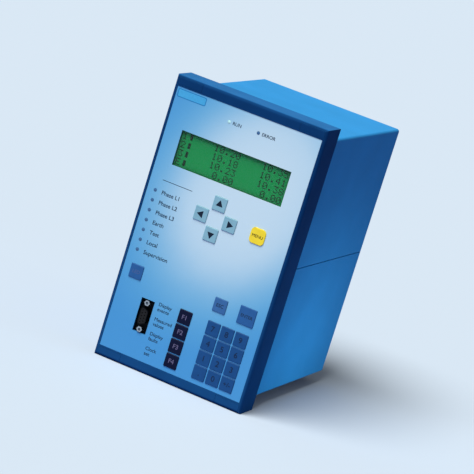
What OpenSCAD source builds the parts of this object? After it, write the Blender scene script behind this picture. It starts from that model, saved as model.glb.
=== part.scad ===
// Flush-mounted protection relay, one third of a 19-inch rack wide.
// x runs to the right, y runs back into the switchgear panel and z runs up.
// The origin is the middle of the front's seat on the panel.

/* [Case] */
// Width of the case behind the panel
case_w = 145; // [138:1:155]
// Height of the case behind the panel
case_h = 244; // [238:1:264]
// Depth of the case from the panel to its rear face
case_depth = 172; // [165:1:210]
// Thickness of the folded case sheet
sheet_t = 1.5; // [1:0.1:2]
// Outside radius of the folds along the case
fold_r = 2.5; // [2.2:0.1:4]
// Open groove between the two case halves
seam_gap = 0.8; // [0.4:0.1:1.5]
// Height of the lower half's tongue inside the upper half
seam_lap = 12; // [6:1:20]
// Width of the lips that carry the rear wall
lip_w = 9; // [8:0.5:12]
// Thickness of the rear wall
rear_t = 2; // [1.5:0.1:3]
// Radius of the rear wall's screw shanks
rear_screw_r = 1.5; // [1.2:0.1:2]

/* [Front] */
// Step from the case side out to the front's side
side_step = 2.5; // [2.2:0.1:5]
// Step from the case top out to the front's top edge
end_step = 11; // [10.8:0.1:15]
// Depth of the front before the panel
front_depth = 29.5; // [28:0.5:40]
// Wall of the moulded frame
frame_wall = 1.6; // [1.2:0.1:1.8]
// Rounding of the front's outer edges
edge_r = 3; // [1.5:0.1:3.2]
// Width of the frame strip beside the foil
rim_side = 3.5; // [3.2:0.1:5]
// Width of the frame strip above and below the foil
rim_end = 10; // [9.8:0.1:12]
// Depth of the recess for the foil
foil_recess = 0.8; // [0.6:0.1:1.2]
// Thickness of the printed foil
foil_t = 0.5; // [0.3:0.1:0.6]
// Thickness of the plate behind the foil
plate_t = 2.4; // [2:0.1:3.5]
// Clearance round pieces that are set into the frame
fit = 0.15; // [0.1:0.05:0.25]

/* [Mounting] */
// Thickness of the mounting brackets
bracket_t = 2; // [1.5:0.1:3]
// Length of the bracket leg under the case top
bracket_leg = 16; // [12:1:24]
// Height of the fixing slots above the case top
slot_step = 5.9; // [5.6:0.1:6.2]
// Distance of the fixing slots' middle from the case side
slot_inset = 6.75; // [6.5:0.05:7.5]
// Width of the fixing slots
slot_w = 4.6; // [4.2:0.1:5]
// Length of the fixing slots from end to end
slot_len = 9; // [6:0.5:10]
// Width of the caps over the fixing slots
cover_w = 24; // [20:0.5:26]
// Height of the caps over the fixing slots
cover_h = 7; // [6:0.1:7.2]
// Thickness of the caps
cover_t = 2.2; // [1.6:0.1:2.6]
// Distance from a fixing slot to the frame screw beside it
screw_step = 12; // [11:0.5:13]
// Radius of the frame screws' shanks
screw_r = 1.5; // [1.2:0.1:1.7]

/* [Keys] */
// Width and height of an ordinary key
key_size = 12.7; // [11.5:0.1:13]
// Distance between the keypad's keys
key_pitch = 14; // [14:0.1:15]
// Corner radius of an ordinary key
key_r = 0.9; // [0.8:0.1:3]
// Bevel along a key's front edges
key_bevel = 0.3; // [0.2:0.1:0.6]
// How far a key stands out of the foil
key_rise = 0.7; // [0.7:0.1:2]
// How far a key can be pressed
key_travel = 0.6; // [0.3:0.1:0.6]
// Gap round a key in its window
key_gap = 0.15; // [0.1:0.05:0.2]
// How far a key's flange reaches behind the plate
key_lip = 0.25; // [0.1:0.05:0.3]
// Thickness of a key's flange
key_flange = 1.2; // [0.8:0.1:1.6]
// Radius of the stem that presses the switch
stem_r = 2.5; // [1.5:0.1:3]
// Width of the menu key
menu_size = 14.4; // [13:0.1:16]
// Corner radius of the menu key
menu_r = 4; // [2:0.1:5]
// Width of the enter key
enter_size = 16.4; // [14:0.1:17]

/* [Front layout] */
// Place of the middle column, which has the display, arrows and function keys
middle_x = -1; // [-2:0.5:1]
// Keypad's middle from the foil's right edge
keypad_edge = 30; // [29:0.5:31]
// Lowest key row from the foil's lower edge
keypad_foot = 11; // [10:0.5:14]
// Command key row from the foil's lower edge
command_foot = 75.2; // [74:0.1:78]
// Enter key's middle from the foil's right edge
enter_edge = 17.2; // [15:0.1:18]
// Lamp reset key's middle from the foil's left edge
reset_edge = 13.5; // [12:0.5:18]
// Arrow keys' middle from the foil's top edge
arrow_drop = 100; // [98:0.5:104]
// Distance of the arrow keys from their middle
arrow_step = 14.3; // [14.1:0.1:16]
// Status lamps from the foil's top edge
status_drop = 14; // [10:0.5:20]
// Distance between the two status lamps
status_pitch = 29; // [20:0.5:40]
// Signal lamps from the foil's left edge
lamp_edge = 8; // [6:0.5:12]
// Lowest signal lamp above the command key row
lamp_rise = 19.4; // [12:0.1:24]
// Distance between the signal lamps
lamp_pitch = 9.4; // [8:0.1:10]
// Number of signal lamps
lamp_count = 7; // [4:1:7]
// Radius of the lamps
lamp_r = 1.5; // [1:0.1:2]

/* [Display] */
// Width of the display window
display_w = 109; // [90:0.5:112]
// Height of the display window
display_h = 32.5; // [24:0.5:36]
// Display's middle from the foil's top edge
display_drop = 52; // [48:0.5:54]
// How far the lens reaches under the foil
lens_lap = 1.4; // [1:0.1:2]
// Thickness of the lens
lens_t = 1.5; // [1:0.1:1.7]
// Thickness of the display cell
cell_t = 2; // [1.6:0.1:2.6]
// Thickness of the tray behind the display cell
carrier_t = 2.5; // [1.5:0.1:3]

/* [Service port] */
// Service port's middle from the foil's left edge
port_edge = 32.5; // [30:0.5:34]
// Service port's middle from the foil's lower edge
port_foot = 39.7; // [36:0.1:44]
// Distance between the hex posts of a port
post_pitch = 25; // [24.9:0.1:25.1]
// Length of a port's flange
port_len = 30.8; // [30.5:0.1:31.5]
// Width of a port's flange
port_w = 12.5; // [12:0.1:13]
// Thickness of a port's flange
port_t = 0.8; // [0.5:0.1:1]
// Height of a port's collar above its flange
collar_h = 6; // [5:0.1:6.5]
// How far the service port's flange lies behind the plate
port_set = 1.1; // [0.6:0.1:2]

/* [Rear terminals] */
// Rows of a signal terminal block
signal_rows = 9; // [6:1:9]
// Distance between the rows of a signal terminal block
signal_pitch = 10; // [9.6:0.1:10.4]
// Rows of the current terminal block
current_rows = 4; // [3:1:4]
// Distance between the rows of the current terminal block
current_pitch = 16; // [13:0.5:17]
// Width of the terminal blocks
block_w = 30; // [28:0.5:32]
// Thickness of a terminal block's base
block_base = 8; // [7:0.5:12]
// Height of the barriers above the base
barrier_h = 10; // [8:0.5:12]
// Thickness of the barriers
barrier_t = 1.6; // [1.2:0.1:1.8]
// Solid ends of a terminal block
block_end = 3; // [2:0.5:5]
// Highest terminal block from the case top
block_drop = 14; // [12:0.5:18]
// Gap between the terminal blocks of one column
block_gap = 14; // [8:0.5:16]
// Depth of the plugs between the terminal blocks and the boards
plug_depth = 12; // [10:0.5:14]

/* [Boards] */
// Thickness of the circuit boards
board_t = 1.6; // [1.2:0.1:2]
// Distance from the front plate to the front board
board_gap = 10.7; // [10.5:0.1:12]
// Distance between the two modules' boards
board_pitch = 60; // [56:1:64]
// Thickness of the card guides' floor
guide_floor = 2; // [1.5:0.1:3]
// Depth of the card guides' slot
guide_slot = 4; // [3:0.1:6]
// Width of the card guides
guide_w = 8; // [6:0.5:10]
// Height of the components on the boards that is free for the tallest one
component_h = 22; // [18:0.5:24]

/* [Hidden] */
$fn = 48;

// The part to draw, or all of them

// Clearances: round a screw's thread, round a loose piece, past a cut face, into a joined piece
thread_gap = 0.05;
free_gap = 0.2;
cut = 1;
bite = 0.5;

// Overall front sizes
front_w = case_w + 2 * side_step;
front_h = case_h + 2 * end_step;
inner_w = front_w - 2 * frame_wall;
inner_h = front_h - 2 * frame_wall;
foil_w = front_w - 2 * rim_side;
foil_h = front_h - 2 * rim_end;
foil_left = -foil_w / 2;
foil_right = foil_w / 2;
foil_top = foil_h / 2;
foil_foot = -foil_h / 2;

// Depths of the front's layers, from the front face back
front_y = -front_depth;
foil_back_y = front_y + foil_recess;
foil_front_y = foil_back_y - foil_t;
plate_back_y = foil_back_y + plate_t;
board_front_y = plate_back_y + board_gap;
board_back_y = board_front_y + board_t;
key_front_y = foil_front_y - key_rise;
flange_back_y = plate_back_y + key_flange;
wall_y = case_depth - rear_t;
plug_y = case_depth - plug_depth;

// Tongue of the lower case half: gap to the upper half, and height of its step
lap_gap = 0.1;
lap_step = 3;
tongue_x = case_w / 2 - sheet_t - lap_gap - sheet_t / 2;
tongue_y = wall_y - sheet_t - free_gap;

// Fixing slots, caps with snap legs, and frame screws in their tubes
slot_x = case_w / 2 - slot_inset;
slot_z = case_h / 2 + slot_step;
cover_edge = 0.9;
cover_x = inner_w / 2 - cover_edge - cover_w / 2;
leg_t = 1.2;
leg_h = 4;
hook_reach = 0.6;
hook_gap = 0.1;
hook_len = 1;
frame_screw_x = slot_x - screw_step;
screw_tube_len = 8;
screw_tube_wall = 2;
screw_rib_w = 4;
screw_seat_y = -bracket_t - screw_tube_len;
bracket_foot = case_h / 2 - sheet_t - bracket_t;
bracket_top = inner_h / 2 - free_gap;

// Places on the front
keypad_x = foil_right - keypad_edge;
command_z = foil_foot + command_foot;
arrow_z = foil_top - arrow_drop;
status_z = foil_top - status_drop;
lamp_x = foil_left + lamp_edge;
lamp_foot_z = command_z + lamp_rise;
display_z = foil_top - display_drop;
port_x = foil_left + port_edge;
port_z = foil_foot + port_foot;
function pad_row_z(row) = foil_foot + keypad_foot + (3 - row) * key_pitch;
function pad_column_x(column) = keypad_x + (column - 1) * key_pitch;
STATUS_LAMPS = [for (side = [-1, 1]) [middle_x + side * status_pitch / 2, status_z]];
SIGNAL_LAMPS = [for (i = [0 : lamp_count - 1]) [lamp_x, lamp_foot_z + i * lamp_pitch]];

// Lamps: gap in the plate, dome above the foil, collar on the board
lamp_gap = 0.1;
dome_rise = 0.4;
lamp_collar = 0.5;
lamp_collar_h = 2;

// Display: lens, cell and tray
lens_w = display_w + 2 * lens_lap;
lens_h = display_h + 2 * lens_lap;
cell_inset = 0.3;
cell_y = foil_back_y + lens_t + free_gap;
tray_y = cell_y + cell_t;
tray_back_y = tray_y + carrier_t;
tray_lip = 3;
tray_rim = 6;
tray_floor = 1;
tray_post_r = 3;
tray_post_inset = 1;

// Switches behind the keys
switch_w = 6;
switch_h = 3.5;
switch_pin_r = 1.7;
switch_pin_h = 1.8;
switch_slack = 0.1;
switch_top_y = board_front_y - switch_h - switch_pin_h;
stem_end_y = switch_top_y - key_travel - switch_slack;

// Front board, its bosses and its header
board_side_gap = 0.8;
board_end_gap = 5;
board_w = inner_w - 2 * board_side_gap;
board_h = foil_h - 2 * board_end_gap;
boss_r = 3;
boss_bore_r = 1.2;
boss_edge = 4;
boss_end = 11;
boss_mid_x = 45;
boss_mid_z = 12;
boss_x = inner_w / 2 - boss_edge;
boss_z = foil_h / 2 - boss_end;
BOSSES = [
    [-boss_x, boss_z], [boss_x, boss_z], [-boss_mid_x, -boss_mid_z],
    [boss_mid_x, -boss_mid_z], [-boss_x, -boss_z], [boss_x, -boss_z]
];
header_x = 12;
header_h = 8;
header_w = 8;
header_len = 28;

// Screws: head radius, head height, and how far a shank runs on behind what it holds
rear_head = [2.8, 2];
frame_head = [2.8, 2];
board_head = [2.3, 1.6];
board_screw_r = boss_bore_r - thread_gap;
board_screw_len = 6;
screw_out = 2;

// Earthing screw and its washer
earth_r = 2;
earth_head = [4, 2.8];
earth_washer_r = 5.5;
earth_washer_t = 1;
earth_rise = 20;
earth_z = -case_h / 2 + earth_rise;

// Nine-pole D connector
d_half_w = 3.95;
d_half_len = 8.17;
d_corner_r = 2.6;
d_taper = 1.3;
d_wall = 0.5;
d_gap = 0.1;
port_corner_r = 2;
port_gap = 0.4;
insert_drop = 0.3;
port_body_len = 19.2;
port_body_w = 10.4;
contact_r = 0.55;
contact_pitch = 2.77;
contact_row = 1.42;
contact_floor = 1;
post_r = 2.75;
post_h = 5;
post_bore_r = 1.3;
post_shank_r = 1.5;
post_shank_len = 3;
port_front_y = plate_back_y + port_set;

// Terminal blocks
column_x = board_pitch / 2 + board_t / 2;
function block_h(rows, pitch) = rows * pitch + barrier_t + 2 * block_end;
signal_h = block_h(signal_rows, signal_pitch);
current_h = block_h(current_rows, current_pitch);
signal_z = case_h / 2 - block_drop - signal_h / 2;
current_z = case_h / 2 - block_drop - signal_h - block_gap - current_h / 2;
terminal_dx = 7.5;
barrier_bevel = 3;
neck_w = 16;
neck_inset = 5;
pilot_depth = 6.5;
terminal_shank = 6;
washer_t = 0.8;
signal_screw_r = 1.5;
signal_washer_r = 3.8;
current_screw_r = 2;
current_washer_r = 5;

// Rear ports under the right-hand signal block
optical_body_r = 4.5;
optical_body_len = 10;
optical_flange_r = 6.5;
optical_flange_t = 2;
barrel_r = 3.5;
barrel_h = 11;
lug_r = 0.8;
lug_reach = 1.1;
lug_h = 5;
ferrule_r = 1.25;
ferrule_floor = 3;
optical_dx = 9;
optical_dz = 20;
optical_top_z = signal_z - signal_h / 2 - block_gap - optical_flange_r;
OPTICALS = [
    for (row = [0, 1], side = [-1, 1])
        [column_x + side * optical_dx, optical_top_z - row * optical_dz]
];
sync_drop = 30;
sync_z = optical_top_z - optical_dz - sync_drop;
sync_body = 6;

// Rear wall screws
rear_screw_inset = 5;
rear_screw_end = 8;
REAR_SCREWS = [
    for (
        side = [-1, 1],
        z = [-case_h / 2 + rear_screw_end, -case_h / 6, case_h / 6, case_h / 2 - rear_screw_end]
    )
        [side * (case_w / 2 - rear_screw_inset), z]
];

// Boards of the two modules, their plugs, guides and flat cable
board_front_edge = 6;
board_back_gap = 2;
board_half_h = case_h / 2 - sheet_t - guide_floor - free_gap;
plug_body = 12;
guide_h = guide_floor + guide_slot;
guide_gap = 1;
guide_end = 14;
ribbon_t = 0.9;
ribbon_w = 26;
ribbon_r = 5;
cpu_header_y = board_front_edge + 6;

// Components of the processor module, from the board's front edge and its middle
processor_y = 56;
processor_z = 45;
processor_w = 28;
processor_t = 3.4;
memory_y = 98;
memory_w = 18;
memory_h = 12;
memory_t = 2.6;
memory_pitch = 26;
supply_y = 106;
supply_z = -62;
supply_w = 42;
supply_h = 44;
can_y = 54;
can_r = 7;
can_pitch = 23;

// Battery of the processor module, from the board's front edge and its top edge
battery_y = 30;
battery_drop = 30;
battery_r = 7;
battery_len = 28;
holder_w = 18;
holder_len = 34;
holder_t = 4;

// Components of the input and output module, from the board's front edge
input_y = 46;
input_dy = 52;
input_dz = 40;
input_w = 36;
input_h = 34;
relay_y = 38;
relay_dy = 35;
relay_dz = 24;
relay_len = 28;
relay_w = 12;
relay_t = 15;

// Colours
navy = "#103468";
foil_blue = "#a6cdec";
key_blue = "#1b4a7c";
key_navy = "#0a1f4a";
key_pale = "#84abc4";
key_mid = "#497bad";
yellow = "#ecdb60";
case_blue = "#2c7cc0";
steel = "#b9bec4";
bright_steel = "#e4e6ea";
board_green = "#1f5b3a";
lcd_green = "#288955";
clear_lens = "#dfeef2";
lamp_blue = "#2a608e";
lamp_lit = "#d8f5d0";
black = "#121318";
ivory = "#e9e6dc";
cable_grey = "#8c9094";

// Every key: name, x, z, width, corner radius, colour
PAD_NAMES = [
    ["key_7", "key_8", "key_9"],
    ["key_4", "key_5", "key_6"],
    ["key_1", "key_2", "key_3"],
    ["key_dot", "key_0", "key_sign"]
];
KEYS = concat(
    [
        ["key_up", middle_x, arrow_z + arrow_step, key_size, key_r, key_pale],
        ["key_down", middle_x, arrow_z - arrow_step, key_size, key_r, key_pale],
        ["key_left", middle_x - arrow_step, arrow_z, key_size, key_r, key_pale],
        ["key_right", middle_x + arrow_step, arrow_z, key_size, key_r, key_pale],
        ["key_menu", keypad_x, arrow_z, menu_size, menu_r, yellow],
        ["key_led_reset", foil_left + reset_edge, command_z, key_size, key_r, key_blue],
        ["key_esc", pad_column_x(0), command_z, key_size, key_r, key_mid],
        ["key_enter", foil_right - enter_edge, command_z, enter_size, key_r, key_blue]
    ],
    [for (row = [0 : 3])
        [str("key_f", row + 1), middle_x, pad_row_z(row), key_size, key_r, key_navy]],
    [for (row = [0 : 3], column = [0 : 2])
        [PAD_NAMES[row][column], pad_column_x(column), pad_row_z(row), key_size, key_r, key_blue]]
);

// Extrudes a front view (x across, z up) from depth y0 back to depth y1
module front_extrude(y0, y1) {
    translate([0, y1, 0])
        rotate([90, 0, 0])
            linear_extrude(y1 - y0)
                children();
}

// Extrudes a side view (z first, y second) over the width w, about x = 0
module side_extrude(w) {
    translate([w / 2, 0, 0])
        rotate([0, -90, 0])
            linear_extrude(w)
                children();
}

// Extrudes a top view (x first, y second) over the height h, about z = 0
module top_extrude(h) {
    translate([0, 0, -h / 2])
        linear_extrude(h)
            children();
}

// Moves a shape to a place on the front
module at(x, z) {
    translate([x, 0, z])
        children();
}

// Round bar along y
module rod(r, y0, y1) {
    translate([0, y0, 0])
        rotate([-90, 0, 0])
            cylinder(r = r, h = y1 - y0);
}

// Box with its middle on the y axis
module block(w, h, y0, y1) {
    translate([-w / 2, y0, -h / 2])
        cube([w, y1 - y0, h]);
}

// Rectangle with round corners, about the origin
module round_rect(w, h, r) {
    square([w - 2 * r, h], center = true);
    square([w, h - 2 * r], center = true);
    for (sx = [-1, 1], sz = [-1, 1])
        translate([sx * (w / 2 - r), sz * (h / 2 - r)])
            circle(r = r);
}

// Section across the front: flat at depth y1, round corners at depth y0
module nosed_section(half, y0, y1, r) {
    translate([-half, y0 + r])
        square([2 * half, y1 - y0 - r]);
    translate([-half + r, y0])
        square([2 * (half - r), y1 - y0]);
    for (side = [-1, 1])
        translate([side * (half - r), y0 + r])
            circle(r = r);
}

// Section across a key: flat at depth y1, bevelled corners at depth y0
module bevel_section(half, y0, y1, b) {
    polygon([
        [-half, y1], [-half, y0 + b], [-half + b, y0],
        [half - b, y0], [half, y0 + b], [half, y1]
    ]);
}

// Slot along x with round ends
module slot(len, w) {
    square([len - w, w], center = true);
    for (side = [-1, 1])
        translate([side * (len - w) / 2, 0])
            circle(r = w / 2);
}

// Domed screw along y with a cross recess: seat at y = 0, shank towards +y, head = [radius, height]
module pan_screw(shank_r, shank_len, head) {
    head_r = head[0];
    head_h = head[1];
    dome_r = head_r * 1.5;
    recess = head_r * 1.1;
    recess_w = head_r * 0.3;
    difference() {
        union() {
            rod(shank_r, -head_h / 2, shank_len);
            intersection() {
                rod(head_r, -head_h, 0);
                translate([0, dome_r - head_h, 0])
                    sphere(r = dome_r);
            }
        }
        block(recess, recess_w, -head_h - cut, -head_h / 2);
        block(recess_w, recess, -head_h - cut, -head_h / 2);
    }
}

// The same screw turned round: seat at depth y, shank towards the front
module rear_screw(y, shank_r, shank_len, head) {
    translate([0, y, 0])
        rotate([0, 0, 180])
            pan_screw(shank_r, shank_len, head);
}

// Section of the folded case: a thin-walled rectangle with round folds
module case_section() {
    difference() {
        round_rect(case_w, case_h, fold_r);
        round_rect(case_w - 2 * sheet_t, case_h - 2 * sheet_t, fold_r - sheet_t);
    }
}

// Lips turned in at the rear of the case
module lip_section() {
    difference() {
        round_rect(case_w, case_h, fold_r);
        square([case_w - 2 * lip_w, case_h - 2 * lip_w], center = true);
    }
}

// Everything above the seam
module above_seam() {
    translate([-case_w, seam_gap / 2])
        square([2 * case_w, case_h]);
}

// Folded channel that makes the upper half of the case, with threaded lips
module shell_half() {
    difference() {
        union() {
            front_extrude(0, wall_y)
                intersection() {
                    case_section();
                    above_seam();
                }
            front_extrude(wall_y - sheet_t, wall_y)
                intersection() {
                    lip_section();
                    above_seam();
                }
        }
        for (p = REAR_SCREWS)
            at(p[0], p[1])
                rod(rear_screw_r + thread_gap, wall_y - sheet_t - cut, wall_y + cut);
    }
}

module upper_shell() {
    color(case_blue)
        shell_half();
}

// The lower half has a stepped tongue that laps inside the upper half
module lower_shell() {
    step_top = -seam_gap / 2;
    step_w = sheet_t + lap_gap + bite;
    color(case_blue)
        union() {
            rotate([0, 180, 0])
                shell_half();
            for (side = [-1, 1]) {
                at(side * tongue_x, (seam_lap - lap_step) / 2)
                    block(sheet_t, seam_lap + lap_step, 0, tongue_y);
                at(side * (tongue_x + (step_w - sheet_t) / 2), step_top - lap_step / 2)
                    block(step_w, lap_step, 0, tongue_y);
            }
        }
}

module rear_wall() {
    color(case_blue)
        difference() {
            front_extrude(wall_y, case_depth)
                round_rect(case_w, case_h, fold_r);
            for (p = REAR_SCREWS)
                at(p[0], p[1])
                    rod(rear_screw_r + free_gap, wall_y - cut, case_depth + cut);
            for (side = [-1, 1])
                at(side * column_x, signal_z)
                    neck_opening(signal_h);
            at(-column_x, current_z)
                neck_opening(current_h);
            for (p = OPTICALS)
                at(p[0], p[1])
                    rod(optical_body_r + fit, wall_y - cut, case_depth + cut);
            at(column_x, sync_z) {
                block(port_body_w + 2 * fit, port_body_len + 2 * fit, wall_y - cut, case_depth + cut);
                for (end = [-1, 1])
                    at(0, end * post_pitch / 2)
                        rod(post_shank_r + fit, wall_y - cut, case_depth + cut);
            }
            at(0, earth_z)
                rod(earth_r + thread_gap, wall_y - cut, case_depth + cut);
        }
}

// Opening in the rear wall for the neck of a terminal block
module neck_opening(h) {
    block(neck_w + 2 * fit, h - 2 * neck_inset + 2 * fit, wall_y - cut, case_depth + cut);
}

module rear_wall_screws() {
    color(steel)
        for (p = REAR_SCREWS)
            at(p[0], p[1])
                rear_screw(case_depth, rear_screw_r, rear_t + sheet_t + screw_out, rear_head);
}

// Earthing screw with a plain washer under its head
module earth_terminal() {
    washer_y = case_depth + earth_washer_t;
    color(steel)
        at(0, earth_z) {
            rear_screw(washer_y, earth_r, earth_washer_t + rear_t + screw_out, earth_head);
            rod(earth_washer_r, case_depth, washer_y);
        }
}

// Angle that fixes the case and the front to the panel
module mounting_bracket() {
    upright = bracket_top - bracket_foot;
    difference() {
        union() {
            at(0, bracket_foot + upright / 2)
                block(inner_w - 2 * free_gap, upright, -bracket_t, 0);
            at(0, bracket_foot + bracket_t / 2)
                block(case_w - 2 * fold_r, bracket_t, -bracket_t, bracket_leg);
        }
        for (side = [-1, 1]) {
            front_extrude(-bracket_t - cut, cut)
                translate([side * slot_x, slot_z])
                    slot(slot_len, slot_w);
            at(side * frame_screw_x, slot_z)
                rod(screw_r + thread_gap, -bracket_t - cut, cut);
        }
    }
}

module mounting_bracket_top() {
    color(steel)
        mounting_bracket();
}

module mounting_bracket_bottom() {
    color(steel)
        rotate([0, 180, 0])
            mounting_bracket();
}

// Outer form of the front: a block with all four front edges rounded
module frame_form() {
    intersection() {
        side_extrude(front_w)
            nosed_section(front_h / 2, front_y, 0, edge_r);
        top_extrude(front_h)
            nosed_section(front_w / 2, front_y, 0, edge_r);
    }
}

// Windows of the keys, lamps and port, which the plate and the foil share
module front_windows() {
    for (key = KEYS)
        translate([key[1], key[2]])
            round_rect(key[3] + 2 * key_gap, key[3] + 2 * key_gap, key[4] + key_gap);
    for (p = concat(STATUS_LAMPS, SIGNAL_LAMPS))
        translate(p)
            circle(r = lamp_r + lamp_gap);
    translate([port_x, port_z])
        square([port_w + 2 * port_gap, port_len + 2 * port_gap], center = true);
}

// Tube that carries a frame screw, tied to the frame's end wall by a rib
module screw_tube(side, end) {
    rib_h = inner_h / 2 + bite - slot_z;
    at(side * frame_screw_x, end * slot_z)
        rod(screw_r + screw_tube_wall, screw_seat_y, -bracket_t);
    at(side * frame_screw_x, end * (slot_z + rib_h / 2))
        block(screw_rib_w, rib_h, screw_seat_y, -bracket_t);
}

module front_frame() {
    color(navy)
        difference() {
            union() {
                difference() {
                    frame_form();
                    block(inner_w, inner_h, plate_back_y, cut);
                }
                for (p = BOSSES)
                    at(p[0], p[1])
                        rod(boss_r, plate_back_y - bite, board_front_y);
                for (side = [-1, 1], end = [-1, 1])
                    screw_tube(side, end);
            }
            block(foil_w + 2 * fit, foil_h + 2 * fit, front_y - cut, foil_back_y);
            front_extrude(foil_back_y - cut, plate_back_y + cut) {
                front_windows();
                translate([middle_x, display_z])
                    square([lens_w + 2 * fit, lens_h + 2 * fit], center = true);
            }
            for (p = BOSSES)
                at(p[0], p[1])
                    rod(boss_bore_r, board_front_y - board_screw_len - screw_out, board_front_y + cut);
            for (side = [-1, 1], end = [-1, 1]) {
                at(side * cover_x, end * slot_z)
                    block(cover_w, cover_h, front_y - cut, plate_back_y + cut);
                at(side * frame_screw_x, end * slot_z)
                    rod(screw_r + free_gap, screw_seat_y - cut, -bracket_t + cut);
            }
        }
}

module front_foil() {
    color(foil_blue)
        front_extrude(foil_front_y, foil_back_y)
            difference() {
                square([foil_w, foil_h], center = true);
                front_windows();
                translate([middle_x, display_z])
                    square([display_w, display_h], center = true);
            }
}

// Cap in a corner of the frame, whose face follows the frame's rounded edge.
// Two legs snap behind the plate.
module corner_cover(side, end) {
    leg_x = cover_w / 2 - free_gap - leg_t / 2;
    hook_y = plate_back_y + hook_gap;
    intersection() {
        frame_form();
        at(side * cover_x, end * slot_z)
            block(cover_w - 2 * free_gap, cover_h - 2 * free_gap, front_y, front_y + cover_t);
    }
    for (leg = [-1, 1]) {
        at(side * cover_x + leg * leg_x, end * slot_z)
            block(leg_t, leg_h, front_y + cover_t - bite, hook_y + hook_len);
        at(side * cover_x + leg * (leg_x + hook_reach / 2), end * slot_z)
            block(leg_t + hook_reach, leg_h, hook_y, hook_y + hook_len);
    }
}

module corner_covers() {
    color(navy)
        for (side = [-1, 1], end = [-1, 1])
            corner_cover(side, end);
}

module frame_screws() {
    color(steel)
        for (side = [-1, 1], end = [-1, 1])
            at(side * frame_screw_x, end * slot_z)
                translate([0, screw_seat_y, 0])
                    pan_screw(screw_r, -screw_seat_y - free_gap, frame_head);
}

// Clear lens behind the foil
module display_lens() {
    color(clear_lens, 0.4)
        at(middle_x, display_z)
            block(lens_w, lens_h, foil_back_y, foil_back_y + lens_t);
}

module display_cell() {
    color(lcd_green)
        at(middle_x, display_z)
            block(lens_w - 2 * cell_inset, lens_h - 2 * cell_inset, cell_y, tray_y);
}

// Tray that holds the cell, on four posts on the front board
module display_carrier() {
    color(black)
        at(middle_x, display_z) {
            difference() {
                block(lens_w + 2 * tray_lip, lens_h + 2 * tray_lip, tray_y, tray_back_y);
                block(lens_w - 2 * tray_rim, lens_h - 2 * tray_rim, tray_y + tray_floor, tray_back_y + cut);
            }
            for (sx = [-1, 1], sz = [-1, 1])
                at(sx * (lens_w / 2 - tray_post_inset), sz * (lens_h / 2 - tray_post_inset))
                    rod(tray_post_r, tray_back_y - bite, board_front_y);
        }
}

// Lamp on the front board, with a domed end in the foil
module lamp(p) {
    dome_y = foil_front_y - dome_rise;
    dome_r = 2.5 * lamp_r;
    at(p[0], p[1]) {
        intersection() {
            rod(lamp_r, dome_y, board_front_y);
            union() {
                translate([0, dome_y + dome_r, 0])
                    sphere(r = dome_r);
                rod(2 * lamp_r, dome_y + dome_r, board_front_y + cut);
            }
        }
        rod(lamp_r + lamp_collar, board_front_y - lamp_collar_h, board_front_y);
    }
}

module run_lamp() {
    color(lamp_lit)
        lamp(STATUS_LAMPS[0]);
}

module error_lamp() {
    color(lamp_blue)
        lamp(STATUS_LAMPS[1]);
}

module signal_lamps() {
    color(lamp_blue)
        for (p = SIGNAL_LAMPS)
            lamp(p);
}

// Key cap with bevelled front edges, a flange behind the plate and a stem
module push_key(key) {
    size = key[3];
    flange = size + 2 * (key_gap + key_lip);
    color(key[5])
        at(key[1], key[2]) {
            intersection() {
                front_extrude(key_front_y, plate_back_y + key_flange / 2)
                    round_rect(size, size, key[4]);
                side_extrude(size)
                    bevel_section(size / 2, key_front_y, flange_back_y, key_bevel);
                top_extrude(size)
                    bevel_section(size / 2, key_front_y, flange_back_y, key_bevel);
            }
            block(flange, flange, plate_back_y, flange_back_y);
            rod(stem_r, flange_back_y - bite, stem_end_y);
        }
}

// One tactile switch behind each key: square body and round actuator
module key_switches() {
    color(black)
        for (key = KEYS)
            at(key[1], key[2]) {
                block(switch_w, switch_w, board_front_y - switch_h, board_front_y);
                rod(switch_pin_r, switch_top_y, board_front_y - switch_h + bite);
            }
}

module front_board() {
    color(board_green)
        difference() {
            union() {
                block(board_w, board_h, board_front_y, board_back_y);
                at(header_x, 0)
                    block(header_w, header_len, board_back_y - bite, board_back_y + header_h);
            }
            for (p = BOSSES)
                at(p[0], p[1])
                    rod(boss_bore_r + free_gap, board_front_y - cut, board_back_y + cut);
        }
}

module front_board_screws() {
    color(steel)
        for (p = BOSSES)
            at(p[0], p[1])
                rear_screw(board_back_y, board_screw_r, board_t + board_screw_len, board_head);
}

// Outline of a D connector's collar, its long side upright
module d_outline(inset) {
    corner = d_corner_r - inset;
    half_w = d_half_w - inset;
    half_len = d_half_len - inset;
    hull()
        for (end = [-1, 1]) {
            translate([-half_w + corner, end * (half_len - corner)])
                circle(r = corner, $fn = 32);
            translate([half_w - corner, end * (half_len - d_taper - corner)])
                circle(r = corner, $fn = 32);
        }
}

// Pressed shell: flange with its front at y = 0, and a collar towards -y
module d_shell() {
    front_extrude(0, port_t)
        difference() {
            round_rect(port_w, port_len, port_corner_r);
            d_outline(d_wall);
            for (end = [-1, 1])
                translate([0, end * post_pitch / 2])
                    circle(r = post_shank_r + d_gap);
        }
    front_extrude(-collar_h, port_t)
        difference() {
            d_outline(0);
            d_outline(d_wall);
        }
}

// Moulded insert with five and four contact holes, and a body behind the flange
module d_insert(body_back_y) {
    difference() {
        union() {
            front_extrude(-collar_h + insert_drop, port_t + bite)
                d_outline(d_wall + d_gap);
            block(port_body_w, port_body_len, port_t, body_back_y);
        }
        for (i = [0 : 4])
            at(-contact_row, (i - 2) * contact_pitch)
                rod(contact_r, -collar_h - cut, -contact_floor);
        for (i = [0 : 3])
            at(contact_row, (i - 1.5) * contact_pitch)
                rod(contact_r, -collar_h - cut, -contact_floor);
    }
}

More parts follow.
